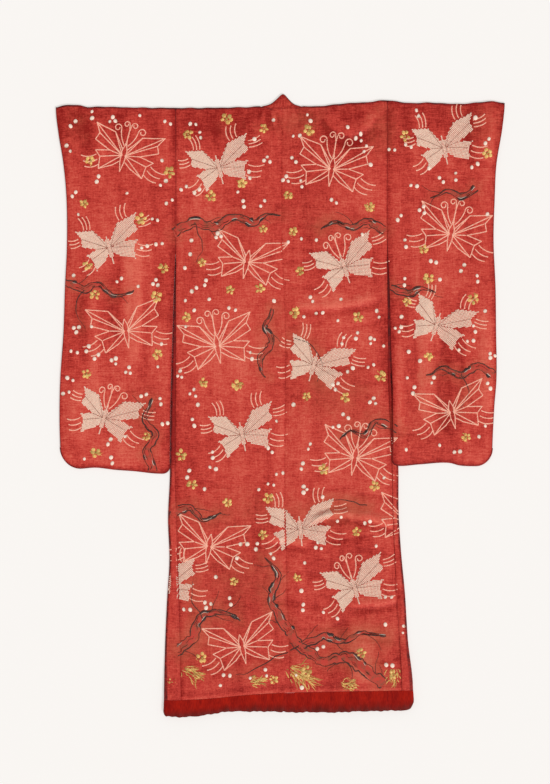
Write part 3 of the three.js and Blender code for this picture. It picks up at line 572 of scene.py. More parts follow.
fadedPatches = [  # x, down, reach across, reach down, strength
    (60, 40, 80, 60, 0.55), (280, 70, 60, 90, 0.5), (-120, 60, 120, 40, 0.25), (120, 1120, 160, 50, 0.6),
    (-220, 1500, 90, 120, 0.4), (250, 1480, 120, 90, 0.45), (-560, 60, 60, 80, 0.35), (560, 60, 70, 90, 0.4),
    (40, 620, 90, 120, 0.3), (-120, 1100, 110, 80, 0.35), (420, 850, 80, 90, 0.3), (-420, 820, 90, 90, 0.3),
    (165, 800, 120, 90, 0.55), (-110, 1300, 120, 90, 0.45), (100, 310, 70, 90, 0.3),
]
tonePatches = [  # the same columns: a negative strength is darker silk, a positive one lighter
    (-180, 70, 110, 70, -0.22), (190, 95, 120, 75, -0.24), (-540, 70, 90, 90, -0.16),
    (520, 60, 110, 60, -0.12), (-140, 620, 130, 180, 0.16), (-230, 300, 60, 160, 0.1),
    (170, 600, 110, 110, 0.12), (-450, 560, 90, 160, 0.04), (470, 520, 90, 130, 0.04),
    (-420, 950, 110, 50, 0.12), (190, 1350, 130, 160, -0.14), (-150, 1330, 120, 120, -0.1),
    (-260, 1580, 60, 60, -0.14), (120, 1160, 120, 40, -0.12), (210, 1020, 100, 60, 0.12),
    (-90, 1010, 90, 90, 0.06), (60, 250, 70, 110, -0.08), (240, 240, 60, 80, 0.08), (430, 880, 90, 70, -0.08),
    (-200, 480, 70, 60, -0.08), (34, 34, 24, 30, 0.26), (-4, 18, 30, 7, 0.16),
]
tuckShade = [(-24, 10, 7, 4, 1), (-38, 6, 10, 3, 0.6), (48, 7, 8, 3, 0.5)]  # painted shade in small tucks at the neck's seam


def patchesAt(table, x, down):
    total = np.zeros_like(x)
    for atX, atDown, reachX, reachDown, strength in table:
        total += strength * np.exp(-(((x - atX) / reachX) ** 2) - (((down - atDown) / reachDown) ** 2))
    return total


silkLooks = Sizes(
    branchStain=0.45, branchReach=26, fullFold=2.6, shoulderTone=-0.16, shoulderTo=130, shoulderFade=100,
)


def stainAt(x, down):  # how far the silk is faded and browned, from 0 to 1
    near = np.full(x.shape, 1e9)
    for px, pd, half in branchPoints[::2]:
        near = np.minimum(near, np.hypot(x - px, down - pd) - half)
    browned = silkLooks.branchStain * np.exp(-((np.maximum(near, 0) / silkLooks.branchReach) ** 2))
    return np.clip(patchesAt(fadedPatches, x, down) + browned, 0, 1)


def looksAt(x, down):  # what the silk's finish reads of each place: its stain; its fold, which sets painted shade in crease troughs and a painted highlight on their ridges; and its tone, to which painted shade beside seams and edges is added later
    shoulder = silkLooks.shoulderTone * ease((silkLooks.shoulderTo - down) / silkLooks.shoulderFade)
    return {
        "stain": stainAt(x, down),
        "fold": np.clip(creaseRise(x, down) / silkLooks.fullFold, -1, 1),
        "tone": patchesAt(tonePatches, x, down) + shoulder,
    }


def rowOf(looks, row, count):  # one row of a block's looks, repeated
    return {key: np.repeat(values[[row]], count, axis=0) for key, values in looks.items()}


def joinLooks(*blocks):
    return {key: np.concatenate([block[key] for block in blocks]) for key in blocks[0]}


# --- making cloth ---

sheetMesh = Sizes(
    cell=5.2, turns=8,
    evenFrom=0.05, besideEdge=[0, 0.004, 0.009, 0.016, 0.026, 0.038],  # shares of the width
    bodyWidth=300, shoulderFrom=34, shoulderRows=[29, 25, 21, 17, 14, 11.5, 9, 7.6, 6.2, 4.8], frontRows=50,
    sleeveFrom=0.024, sleeveEnds=[0, 0.003, 0.007, 0.012, 0.018],  # shares of the depth
    sleeveWidth=320, sleeveRows=190, underRows=46,
)


def alone(piece=None):  # deselects all, then picks one piece
    bpy.ops.object.select_all(action="DESELECT")
    if piece is not None:
        piece.select_set(True)
        bpy.context.view_layer.objects.active = piece


def addAttribute(piece, name, values):
    made = piece.data.attributes.new(name, "FLOAT", "POINT")
    made.data.foreach_set("value", np.asarray(values, np.float32).ravel())


def onWholeMesh(*steps):  # mesh operators and their settings, run on all of the active object
    bpy.ops.object.mode_set(mode="EDIT")
    bpy.ops.mesh.select_all(action="SELECT")
    for operator, settings in steps:
        operator(**settings)
    bpy.ops.object.mode_set(mode="OBJECT")


def layGrid(name, places, turnOver=False, joined=False, **attributes):
    rows, columns = places.shape[:2]
    alone()
    bpy.ops.mesh.primitive_grid_add(x_subdivisions=columns - 1, y_subdivisions=rows - 1, size=1)
    piece = bpy.context.object
    piece.name = piece.data.name = name
    piece.data.vertices.foreach_set("co", places.astype(np.float32).ravel())
    for key, values in attributes.items():
        addAttribute(piece, key, np.broadcast_to(values, (rows, columns)))
    joining = [(bpy.ops.mesh.remove_doubles, {"threshold": 1e-6})] if joined else []
    turning = [(bpy.ops.mesh.flip_normals, {})] if turnOver else []
    onWholeMesh(*joining, *turning)
    return piece


def finished(piece, finish, slot, *nodes, smooth=50):
    alone(piece)
    bpy.ops.object.shade_smooth_by_angle(angle=math.radians(smooth))
    piece.data.materials.clear()
    piece.data.materials.append(finish)
    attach(piece, "root")
    if nodes:
        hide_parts(*nodes)
    return piece


def silkSheet(node, places, silk, thickness=clothSizes.thickness, **settings):
    # one piece of the garment, from a grid of places in the middle of its thickness
    piece = layGrid(f"{node}_silk", places, **settings)
    alone(piece)
    modifier = piece.modifiers.new("solidify", "SOLIDIFY")
    modifier.thickness, modifier.offset = thickness * millimetre, 0
    bpy.ops.object.modifier_apply(modifier=modifier.name)
    return finished(piece, silk, "figured_silk", node)


wearAndShadeLines = {  # strength and reach of the dark line along each edge: wear, and painted shade where the cloth rolls over or sinks into a seam
    "shoulder": (1, 2.9), "sideSeam": (0.65, 1.5), "centreSeam": (0.4, 1.4), "wrapTurn": (1, 3.5),
    "wrapSeam": (0.5, 2.2), "cuff": (0.9, 2.6), "cuffBelow": (0.5, 4), "sleeveSeam": (0.75, 2.2),
    "foot": (0.7, 2.6),
}
shadeLines = {  # the same for the softer painted shade beside it; a negative one is a painted highlight
    "sideSeam": (0.18, 8), "centreSeam": (0.1, 5), "hemTurn": (-0.25, 3), "hemHollow": (0.2, 9),
    "sleeveSeam": (0.34, 13), "cuff": (0.22, 8), "foot": (0.3, 8),
}


def edgeShade(line, distance):
    strength, reach = line
    return strength * np.exp(-((distance / reach) ** 2))


def wornAlong(**distances):  # the wear and painted shade of several edges together, each by its distance
    return sum(edgeShade(wearAndShadeLines[edge], distance) for edge, distance in distances.items())


def shadeAlong(**distances):
    return sum(edgeShade(shadeLines[edge], distance) for edge, distance in distances.items())


def spreadColumns(width):  # shares of a width in even cells, closer beside both edges
    start, beside = sheetMesh.evenFrom, np.array(sheetMesh.besideEdge)
    even = np.linspace(start, 1 - start, round(width * (1 - 2 * start) / sheetMesh.cell) + 1)
    return np.concatenate([beside, even, 1 - beside[::-1]])


# --- the body lengths, each one strip from the back hem over the shoulder to the front hem ---

fronts = Sizes(
    edgeAtHem=14, overlapSeamAtHem=165, overlapTop=246, overlapGap=2, collarEnd=880, collarSeamAtEnd=48,
    leastWrap=0.4, wrapPuff=1.4, puffFrom=5, puffOver=15,
)


def rowPlace(x, down):  # so that the last row meets the hem's seam
    share = (down - edgeDepth) / (bodySizes.hemDown - edgeDepth)
    return mix(edgeDepth, hemSeamAt(x) - clothSizes.seamGap, share)


def frontCentreAt(down):
    return mix(neck.x, centreAt(bodySizes.hemDown), down / bodySizes.hemDown)


def collarSeamAt(down):
    return mix(neck.halfWidth, fronts.collarSeamAtEnd, down / fronts.collarEnd)


def overlapSeamAt(down):
    share = (down - fronts.overlapTop) / (bodySizes.hemDown - fronts.overlapTop)
    return mix(collarSeamAt(fronts.overlapTop) + fronts.overlapGap, fronts.overlapSeamAtHem, share)


bodyWearAndShade = Sizes(  # where each line of wear and painted shade lies, and how strong the painted shade beside the sleeve is
    centreFrom=60, centreFade=200, hemTurn=3, hemHollow=16, besideSleeve=0.55, besideFade=60,
)


def bodyLength(side, silk):
    sign, seamAt, edgeAt = (sides[side][key] for key in ("sign", "seamAt", "edgeAt"))
    share = spreadColumns(sheetMesh.bodyWidth)[None, :]
    gap, hemDown = clothSizes.seamGap, bodySizes.hemDown

    rows = round((hemDown - sheetMesh.shoulderFrom) / sheetMesh.cell)
    down = np.concatenate([np.linspace(hemDown, sheetMesh.shoulderFrom, rows), sheetMesh.shoulderRows,
                           [edgeDepth]])[:, None]
    neckHalf = neck.halfWidth * np.maximum(0, (neck.depth - down) / (neck.depth - edgeDepth))
    inner = np.where(down >= neck.depth, centreAt(down) + sign * gap / 2,
                     neck.x + sign * np.maximum(neckHalf, gap / 2))
    x = mix(inner, seamAt(down), share)
    place = rowPlace(x, down)
    z = backLevel + bodyRise(side, x, place)
    back = laidAt(x, place, z)
    fromSeam, fromCentre = np.abs(x - seamAt(down)), np.abs(x - centreAt(down))
    # dark lines of wear and painted shade along the shoulder fold and the seams, and painted shade in the
    # tucks at the neck
    worn = wornAlong(shoulder=place - edgeDepth, sideSeam=fromSeam) + patchesAt(tuckShade, x, place)
    worn += wornAlong(centreSeam=fromCentre) * ease((place - bodyWearAndShade.centreFrom) / bodyWearAndShade.centreFade)
    backLooks = looksAt(x, place)
    fromHem = hemSeamAt(x) - place
    # painted shade beside the seams and in the hollow above the hem, and a painted highlight on the hem's
    # turn
    backLooks["tone"] -= shadeAlong(
        sideSeam=fromSeam, centreSeam=fromCentre,
        hemTurn=fromHem - bodyWearAndShade.hemTurn, hemHollow=fromHem - bodyWearAndShade.hemHollow)

    angle = np.linspace(0, math.pi, sheetMesh.turns + 2)[1:-1, None]
    x = mix(neck.x + sign * neck.halfWidth, seamAt(0), share) + 0 * angle
    shoulder = toFrame(x, planY(x, edgeDepth) + foldRadius * np.sin(angle),
                       frontLevel + foldRadius * (1 + np.cos(angle)))

    wrapFrom, wrapOver = bodySizes.sideSeamStart, bodySizes.wrapOver
    down = np.concatenate([np.linspace(edgeDepth, wrapFrom, 16)[:-1],
                           np.linspace(wrapFrom, wrapFrom + wrapOver, 13)[:-1],
                           np.linspace(wrapFrom + wrapOver, hemDown, sheetMesh.frontRows)])[:, None]
    seam = np.where(down < fronts.overlapTop, collarSeamAt(down), overlapSeamAt(down) + gap / 2)
    start, edge = frontCentreAt(down) + sign * seam, edgeAt(down)
    wrapping = ease((down - wrapFrom) / wrapOver)
    turn = math.pi * wrapping
    radius = foldRadius + hemLift(edge, down) / 2
    wrap = np.abs(edge - seamAt(down)) - (radius + clothSizes.thickness / 2) - gap
    top = np.maximum(np.where(turn > 0, fronts.leastWrap, 0), wrap)
    curlX = edge - sign * (radius + clothSizes.thickness / 2) * ease(turn / (math.pi / 2))
    flat, curl = np.abs(curlX - start), radius * turn
    length = np.where(share < 0.5, share * 2 * flat, flat + (share * 2 - 1) * (curl + top))
    angle = np.clip(length - flat, 0, curl) / radius
    rest = np.maximum(0, length - flat - curl)
    x = np.where(length <= flat, start + sign * length,
                 curlX + sign * (radius * np.sin(angle) + rest * np.cos(turn)))
    puff = fronts.wrapPuff * np.sin(math.pi * rest / np.maximum(top, 1))
    puff = puff * ease((top - fronts.puffFrom) / fronts.puffOver)
    z = frontLevel + radius * (1 - np.cos(angle)) + rest * np.sin(turn) + puff
    front = laidAt(x, rowPlace(x, down), z)
    curled = (length > flat) * wrapping
    # wear and painted shade where the front rolls round the side and along its seam
    frontWearAndShade = curled * (wornAlong(wrapTurn=rest) * ease(angle / 1.6) + wornAlong(wrapSeam=top - rest))
    frontLooks = looksAt(x, down + 0 * x)
    # painted shade on the wrapped strip where the sleeve lies beside it
    besideSleeve = ease((sleeves[side]["down"][-1] - down) / bodyWearAndShade.besideFade)
    frontLooks["tone"] -= bodyWearAndShade.besideSleeve * curled * besideSleeve

    places = np.concatenate([back, shoulder, front])
    # painted shade and wear over the whole rolled turn at the shoulder
    worn = np.concatenate([worn, np.ones(shoulder.shape[:2]), frontWearAndShade])
    looks = joinLooks(backLooks, rowOf(backLooks, -1, len(shoulder)), frontLooks)
    return silkSheet(f"body_{side}", places, silk, turnOver=sign < 0, worn=worn, **looks)


def overlapPanel(side, silk):
    sign = sides[side]["sign"]
    down = np.linspace(fronts.overlapTop, bodySizes.hemDown, 56)[:, None]
    share = np.linspace(0, 1, 9)[None, :]
    below = np.clip((down - fronts.collarEnd) / (bodySizes.hemDown - fronts.collarEnd), 0, 1)
    front = np.where(down < fronts.collarEnd, collarSeamAt(down),
                     mix(fronts.collarSeamAtEnd, fronts.edgeAtHem, below))
    x = frontCentreAt(down) + sign * mix(front, overlapSeamAt(down) - clothSizes.seamGap / 2, share)
    places = laidAt(x, rowPlace(x, down), frontLevel + 0 * x)
    looks = looksAt(x, down + 0 * x)
    return silkSheet(f"overlap_{side}", places, silk, turnOver=sign < 0, worn=0 * x, **looks)


# --- the sleeves, flat tubes folded at the shoulder and closed at the foot ---


def sleeve(side, silk):
    sign, innerAt, outerAt = (sides[side][key] for key in ("sign", "innerAt", "outerAt"))
    share = spreadColumns(sheetMesh.sleeveWidth)[None, :]
    end = sleeveFootAt(side, share) - edgeDepth
    ends = np.array(sheetMesh.sleeveEnds)
    even = np.linspace(sheetMesh.sleeveFrom, 1 - sheetMesh.sleeveFrom, sheetMesh.sleeveRows)
    part = np.concatenate([ends, even, 1 - ends[::-1]])[:, None]
    turns = np.linspace(0, math.pi, sheetMesh.turns + 2)[1:-1, None]

    down = mix(edgeDepth, end, part)
    x = mix(innerAt(down), outerAt(down), share)
    upper = laidAt(x, down, backLevel + sleeveRise(side, x, down))
    fromOuter, fromInner = np.abs(outerAt(down) - x), np.abs(x - innerAt(down))
    # dark lines of wear and painted shade along the shoulder fold, cuff, seam and foot
    worn = wornAlong(shoulder=down - edgeDepth, cuff=fromOuter, sleeveSeam=fromInner, foot=end - down)
    upperLooks = looksAt(x, down)
    # painted shade beside the seam, the cuff and the foot
    upperLooks["tone"] -= shadeAlong(sleeveSeam=fromInner, cuff=fromOuter, foot=end - down)

    def roundEdge(down, angle, way):
        x = mix(innerAt(down), outerAt(down), share) + 0 * angle
        z = frontLevel + foldRadius * (1 + np.cos(angle)) + sleeveLift(side, x, down)
        return toFrame(x, planY(x, down) + way * foldRadius * np.sin(angle), z)
    foot = roundEdge(end + 0 * turns, turns, -1)

    down = mix(edgeDepth, end, np.linspace(1, 0, sheetMesh.underRows)[:, None])
    x = mix(innerAt(down), outerAt(down), share)
    lower = laidAt(x, down, frontLevel + sleeveLift(side, x, down))
    shoulder = roundEdge(edgeDepth + 0 * turns, turns[::-1], 1)

    places = np.concatenate([upper, foot, lower, shoulder, upper[:1]])
    # painted shade and wear over the rolled foot and shoulder, and along the cuff of the lower layer
    turnWearAndShade = np.ones(foot.shape[:2])
    lowerWearAndShade = wornAlong(cuffBelow=np.abs(outerAt(down) - x))
    worn = np.concatenate([worn, 0.8 * turnWearAndShade, lowerWearAndShade, turnWearAndShade, worn[:1]])
    looks = joinLooks(upperLooks, rowOf(upperLooks, -1, len(foot)), looksAt(x, down),
                      rowOf(upperLooks, 0, len(shoulder) + 1))
    return silkSheet(f"sleeve_{side}", places, silk, turnOver=sign > 0, joined=True, worn=worn, **looks)


# --- the collar: one band round the neck, folded over at the nape ---

collarSizes = Sizes(
    thickness=3.2, gap=0.4, width=44, peakX=8.5, peakRise=33.6, turns=9, stain=0.25, tone=-0.12,
    seamStrip=2.4, besideNeck=4, slantFrom=10, slantOver=90, leastRise=0.6, leastWidth=1.2,
)
peakProfile = {"share": [0, 0.2, 0.4, 0.6, 0.8, 0.93, 1], "rise": [0, 0.06, 0.17, 0.4, 0.72, 0.94, 1]}


def collarBand(silk):
    level = collarSizes.thickness / 2
    radius = (2 * edgeDepth - collarSizes.thickness) / 2
    peak = np.array([collarSizes.peakX, collarSizes.peakRise - radius - level])
    turns = np.linspace(0, math.pi, collarSizes.turns)
    armRows = np.concatenate([np.linspace(fronts.collarEnd, 60, 42), np.linspace(50, 1, 12)])
    crownRows = np.linspace(0.04, 0.96, 21)
    peakRiseAt = smoothCurve(peakProfile["share"], peakProfile["rise"])
    parts = np.linspace(0.2, 1, 5)
    strip = collarSizes.seamStrip
    runs = np.concatenate([[0, strip / 2], strip + radius * turns,
                           mix(strip + radius * math.pi, collarSizes.width, parts)])

    def half(sign):
        foldEnd = np.array([neck.x + sign * (neck.halfWidth - collarSizes.besideNeck),
                            collarSizes.gap - edgeDepth])
        foldLine = peak - foldEnd
        fan = math.pi / 2 - 2 * math.atan2(foldLine[1], abs(foldLine[0]))
        arm = []
        for down in armRows:
            start = frontCentreAt(down) + sign * (collarSeamAt(down) - collarSizes.gap)
            slant = fan * (1 - ease((down - collarSizes.slantFrom) / collarSizes.slantOver))
            y = planY(start, rowPlace(start, down))
            arm.append(np.stack([start - sign * runs * math.cos(slant), y - runs * math.sin(slant),
                                 level + 0 * runs], axis=1))

        def foldAt(share):  # the folded edge, which flares out to the shoulders and is round at its peak
            return np.array([mix(foldEnd[0], peak[0], share), mix(foldEnd[1], peak[1], peakRiseAt(share))])

        def crownRow(share):
            fold = foldAt(share)
            fromNape = abs(fold[0] - neck.x) / neck.halfWidth
            seamY = planY(fold[0], mix(neck.depth, edgeDepth, fromNape)) + collarSizes.gap
            rise = max(collarSizes.leastRise, fold[1] - seamY)
            towardsPeak = ease((share - 0.6) / 0.4)
            along = foldAt(min(share + 0.03, 1)) - foldAt(share - 0.03)
            normal = mix(np.array([sign * along[1], abs(along[0])]) / np.linalg.norm(along), np.array([0, 1]),
                         ease((share - 0.86) / 0.14))
            normal = normal / np.linalg.norm(normal)
            slant = mix(fan, math.pi / 2, towardsPeak)
            left = max(collarSizes.leastWidth, collarSizes.width - rise - math.pi * radius)
            onTop = [(fold[0], seamY + rise * part, level + 2 * radius) for part in (0, 0.5)]
            over = [(*(fold + normal * radius * math.sin(angle)), level + radius * (1 + math.cos(angle)))
                    for angle in turns]
            reachX, reachY = sign * left * math.cos(slant), left * math.sin(slant)
            below = [(fold[0] - reachX * part, fold[1] - reachY * part, level) for part in parts]
            return np.array(onTop + over + below)
        return arm, [crownRow(share) for share in crownRows], crownRow
    leftArm, leftCrown, _ = half(-1)
    rightArm, rightCrown, rightRow = half(1)
    grid = np.array(leftArm + leftCrown + [rightRow(1)] + rightCrown[::-1] + rightArm[::-1])
    places = toFrame(grid[..., 0], grid[..., 1], grid[..., 2])
    worn, tone = np.zeros(grid.shape[:2]), np.full(grid.shape[:2], collarSizes.tone)
    crown = slice(len(leftArm), -len(rightArm))
    puckers = np.sin(np.arange(len(grid))[crown] * 1.9)  # where the band is sewn to the neck
    # painted shade over the band's rounded fold and on the rows at its seam to the neck, with wear at the
    # seam; a painted highlight and shade alternate along the puckers
    worn[crown, 3:-2] = 1
    worn[crown, 0] = 0.35 + 0.3 * puckers
    tone[crown, 1] += 0.16 * puckers
    tone[crown, 0], tone[crown, 2] = -0.3, -0.35
    return silkSheet("collar", places, silk, collarSizes.thickness, turnOver=True, worn=worn, tone=tone,
                     stain=collarSizes.stain + 0 * worn, fold=0 * worn)


# --- the padded hem roll ---

rollSizes = Sizes(
    belly=9, seam=3, proud=2, corner={"left": 9, "right": 27}, roundest=0.96, ragged=1.5,
    dimple=0.1, topSteps=240, frontSteps=30, turnSteps=12, lowUntil=150, lowShare=0.6,
)
hemNotch = Sizes(x=10, half=3.5, depth=3.5)  # a small hole worn in the foot
rollProfile = {"share": [0, 0.22, 0.5, 0.74, 0.9, 0.98, 1], "half": [1.5, 2.7, 3.96, 4.5, 3.6, 1.8, 0]}


def hemRoll(lining):
    level = rollSizes.belly / 2
    backRollLevel = backLevel + bodySizes.hemLift
    turnRadius = (backRollLevel - level) / 2
    reach = turnRadius + rollSizes.belly / 2
    centre = centreAt(bodySizes.hemDown)
    tips = {"left": sides["left"]["edgeAt"](bodySizes.hemDown) - rollSizes.proud,
            "right": sides["right"]["edgeAt"](bodySizes.hemDown) + rollSizes.proud}
    ends = {"left": tips["left"] + reach, "right": tips["right"] - reach}
    sunk = level - rollSizes.seam / 2
    stations = []  # x, height, outward x, outward z and how low it lies

    def flat(start, end, steps, z, out):
        stations.extend((x, z, 0.0, out, float(out < 0)) for x in np.linspace(start, end, steps))

    def turn(x, sign):
        angles = np.linspace(0, math.pi, rollSizes.turnSteps + 2)[1:-1]
        for angle in angles if sign < 0 else angles[::-1]:
            outX, outZ = sign * math.sin(angle), -math.cos(angle)
            low = 1 - ease(math.degrees(angle) / rollSizes.lowUntil)
            stations.append((x + outX * turnRadius, level + turnRadius * (1 + outZ), outX, outZ, low))
    flat(centre - fronts.edgeAtHem, ends["left"], rollSizes.frontSteps, level, -1)
    turn(ends["left"], -1)
    flat(ends["left"], ends["right"], rollSizes.topSteps, backRollLevel, 1)
    turn(ends["right"], 1)
    flat(ends["right"], centre + fronts.edgeAtHem, rollSizes.frontSteps, level, -1)

    x, z, outX, outZ, low = (column[:, None] for column in np.array(stations).T)
    corner = np.where(x < centre, rollSizes.corner["left"], rollSizes.corner["right"])
    tip = np.where(x < centre, tips["left"], tips["right"])
    into = np.clip(corner - np.abs(tip - x - outX * level), 0, corner * rollSizes.roundest)
    cut = corner - np.sqrt(corner**2 - into**2)
    waves = 0.5 * np.sin(x / 7.3 + 1) + 0.6 * np.sin(x / 3.1) * np.sin(x / 37) + 0.4 * np.sin(x / 19)
    ragged = rollSizes.ragged * waves
    ragged = ragged - hemNotch.depth * np.exp(-(((x - hemNotch.x) / hemNotch.half) ** 2))
    seam = hemSeamAt(x) + clothSizes.seamGap
    depth = hemFootAt(x) + ragged - cut - seam

    share = np.concatenate([np.linspace(0, 0.9, 9), [0.95, 0.985, 1]])
    half = smoothCurve(rollProfile["share"], rollProfile["half"])(share)
    share = np.concatenate([share, share[-2::-1], share[:1]])[None, :]
    half = np.concatenate([half, -half[-2::-1], half[:1]])[None, :]
    puckers = 1 + rollSizes.dimple * (np.sin(x / 4.1) + np.sin(x / 11 + 2)) * np.sin(share * math.pi)
    offset = half * puckers + low * sunk * (1 - ease(share / rollSizes.lowShare))
    grid = toFrame(x + outX * offset, -seam - depth * share, np.maximum(0, z + outZ * offset))
    # foot runs from 0 at the seam to 1 at the roll's foot; the lining's finish paints shade towards the foot
    # with it
    piece = layGrid("hem_roll_lining", grid, joined=True, foot=share + 0 * x)
    alone(piece)
    onWholeMesh((bpy.ops.mesh.fill_holes, {"sides": 0}),
                (bpy.ops.mesh.normals_make_consistent, {"inside": False}))
    return finished(piece, lining, "plain_lining", "hem_roll", smooth=70)


# --- small things that repeat: each is modelled once, then copied into one joined mesh ---


def takeShape():  # reads the active object's mesh into arrays, always in one order, and removes the object
    mesh = bpy.context.object.data
    points = np.array([vertex.co[:] for vertex in mesh.vertices])
    order = np.lexsort(points.round(5).T)
    placeOf = np.argsort(order)
    faces = [placeOf[list(face.vertices)] for face in mesh.polygons]
    faces = sorted(np.roll(face, -face.argmin()).tolist() for face in faces)
    bpy.ops.object.delete()
    bpy.data.meshes.remove(mesh)
    return {"points": points[order], "faces": faces}


def modelDot(around, topSize):  # a low round dot that narrows to its top
    alone()
    bpy.ops.mesh.primitive_cylinder_add(vertices=around, radius=1, depth=1)
    bpy.ops.object.mode_set(mode="EDIT")
    bpy.ops.mesh.select_all(action="DESELECT")
    bpy.ops.object.mode_set(mode="OBJECT")
    for face in bpy.context.object.data.polygons:
        face.select = face.normal.z > 0.9
    bpy.ops.object.mode_set(mode="EDIT")
    bpy.ops.mesh.select_mode(type="FACE")
    bpy.ops.transform.resize(value=(topSize, topSize, 1), center_override=(0, 0, 0.5))
    bpy.ops.mesh.poke()
    bpy.ops.object.mode_set(mode="OBJECT")
    return takeShape()


def modelDome(around, rings):  # the upper part of a ball, closed below
    alone()
    bpy.ops.mesh.primitive_uv_sphere_add(segments=around, ring_count=rings, radius=1)
    below = {"plane_co": (0, 0, -0.05), "plane_no": (0, 0, -1), "clear_outer": True, "use_fill": True}
    onWholeMesh((bpy.ops.mesh.bisect, below))
    return takeShape()


def joinedMesh(name, points, faces, **attributes):  # points in metres; faces as arrays of equal length
    mesh = bpy.data.meshes.new(name)
    counts = np.concatenate([np.full(len(block), block.shape[1]) for block in faces])
    corners = np.concatenate([block.ravel() for block in faces]).astype(np.int32)
    mesh.vertices.add(len(points))
    mesh.vertices.foreach_set("co", points.astype(np.float32).ravel())
    mesh.loops.add(len(corners))
    mesh.loops.foreach_set("vertex_index", corners)
    mesh.polygons.add(len(counts))
    mesh.polygons.foreach_set("loop_start", np.concatenate([[0], np.cumsum(counts)[:-1]]).astype(np.int32))
    mesh.update(calc_edges=True)
    mesh.validate()
    piece = bpy.data.objects.new(name, mesh)
    scene.collection.objects.link(piece)
    for key, values in attributes.items():
        addAttribute(piece, key, values)
    return piece


def strew(name, shape, places, finish, slot, sink=0.35, smooth=60):
    # places has a row for each copy: x, down, turn, half width, half length, rise, shade
    if not len(places):
        return None
    x, down, turn, wide, tall, rise, shade = (column[:, None] for column in np.array(places).T)
    points = shape["points"]
    across, along = points[None, :, 0] * wide, points[None, :, 1] * tall
    px = x + across * np.cos(turn) - along * np.sin(turn)
    pd = down - across * np.sin(turn) - along * np.cos(turn)
    panel = np.broadcast_to(panelAt(x, down), px.shape)
    lift = points[:, 2] - points[:, 2].min()
    z = topAt(px, pd, panel) - sink + lift[None, :] / lift.max() * (rise + sink)
    everywhere = laidAt(px, pd, z).reshape(-1, 3)
    steps = np.arange(len(x))[:, None, None] * len(points)
    faces = []
    for corners in sorted({len(face) for face in shape["faces"]}):
        block = np.array([face for face in shape["faces"] if len(face) == corners])
        faces.append((block[None] + steps).reshape(-1, corners))
    reach = np.hypot(points[:, 0], points[:, 1])
    # side, across less along on each copy, lets the buds' finish paint shade on one side
    piece = joinedMesh(name, everywhere, faces,
                       ring=np.broadcast_to(reach, px.shape), shade=np.broadcast_to(shade, px.shape),
                       side=np.broadcast_to(points[:, 0] - points[:, 1], px.shape))
    return finished(piece, finish, slot, smooth=smooth)


scatterSizes = Sizes(
    low=(-600, 20), high=(600, 1610), tries=60, clearOfWings=78, wingsSquash=0.82, wingsAbove=22,
    clearOfBranch=12, blossoms=58, blossomApart=78, blossomEdge=17, blossomHalf=15,
    budGroups=176, budApart=34, budEdge=11, budFromBlossom=26, budHalf=(4.6, 6.7),
    budSpread=(6.8, 10.5), budRise=2.3, petals=5, petalRise=1.6, heartHalf=0.24, heartRise=1.9,
    threads=9, threadRise=1.3, clearShare=0.8,
)


def byPanel(places):  # the copies that lie on each piece of the garment, clear of its edges
    places = np.array(places, float)
    panel = panelAt(places[:, 0], places[:, 1])
    margin = marginAt(places[:, 0], places[:, 1], panel)
    clear = margin > np.minimum(places[:, 3], places[:, 4]) * scatterSizes.clearShare
    return {name: places[(panel == index) & clear] for index, name in enumerate(panelNames)}


# --- tie-resist butterflies ---

# Each is drawn round its heart at 0, 0, u to its right and v upwards; the right half is mirrored.
wing = {
    "heart": (4, 2), "neck": (6, 18), "brow": (40, 62), "tip": (100, 76), "notch": (85, 50),
    "point": (93, 30), "waist": (44, 9), "lobe": (85, 1), "dip": (68, -14), "foot": (64, -48),
    "hip": (26, -30), "root": (6, -14),
}
wingRim = ("neck", "brow", "tip", "notch", "point", "waist", "lobe", "dip", "foot", "hip", "root")
wingPanels = [("heart", "neck", "brow", "tip", "notch", "point", "waist"),
              ("heart", "waist", "lobe", "dip", "foot", "hip", "root")]
outlineRibs = [("heart", far) for far in ("brow", "tip", "notch", "waist", "dip", "foot")]
foldRibs = [("heart", far) for far in ("brow", "notch", "waist", "dip")] + [("neck", "root")]
insect = [(0, 36), (7, 16), (6, -14), (0, -44), (-6, -14), (-7, 16), (0, 36)]
streamers = {"start": (80, -10), "end": (124, -22), "apart": (-7, -13), "apartAtEnd": (-9, -14), "bow": 5}
sideStreamers = {"start": (97, 54), "end": (134, 60), "apart": (-1, -9), "apartAtEnd": (0, -11), "bow": 3}
risingStreamers = {"start": (48, 68), "end": (50, 110), "apart": (11, 2), "apartAtEnd": (14, 0), "bow": -5}
feelers = [  # where each leaves the head, where its curl begins, the curl's radius and turns, the stem's bow
    {"start": (5, 30), "curlAt": (25, 76), "curl": 11, "turns": 1.15, "bow": 4},
    {"start": (2, 34), "curlAt": (3, 90), "curl": 9, "turns": 1.15, "bow": -3},
]
tieWork = Sizes(
    chainPitch=3.6, chainHalf=(2.15, 2.35), fillPitch=3.9, fillHalf=2.45,
    rise=0.75, foldPitch=3.1, foldHalf=1.3, foldExtra=0.4, curlCloses=0.4, leanTilt=-0.35,
)

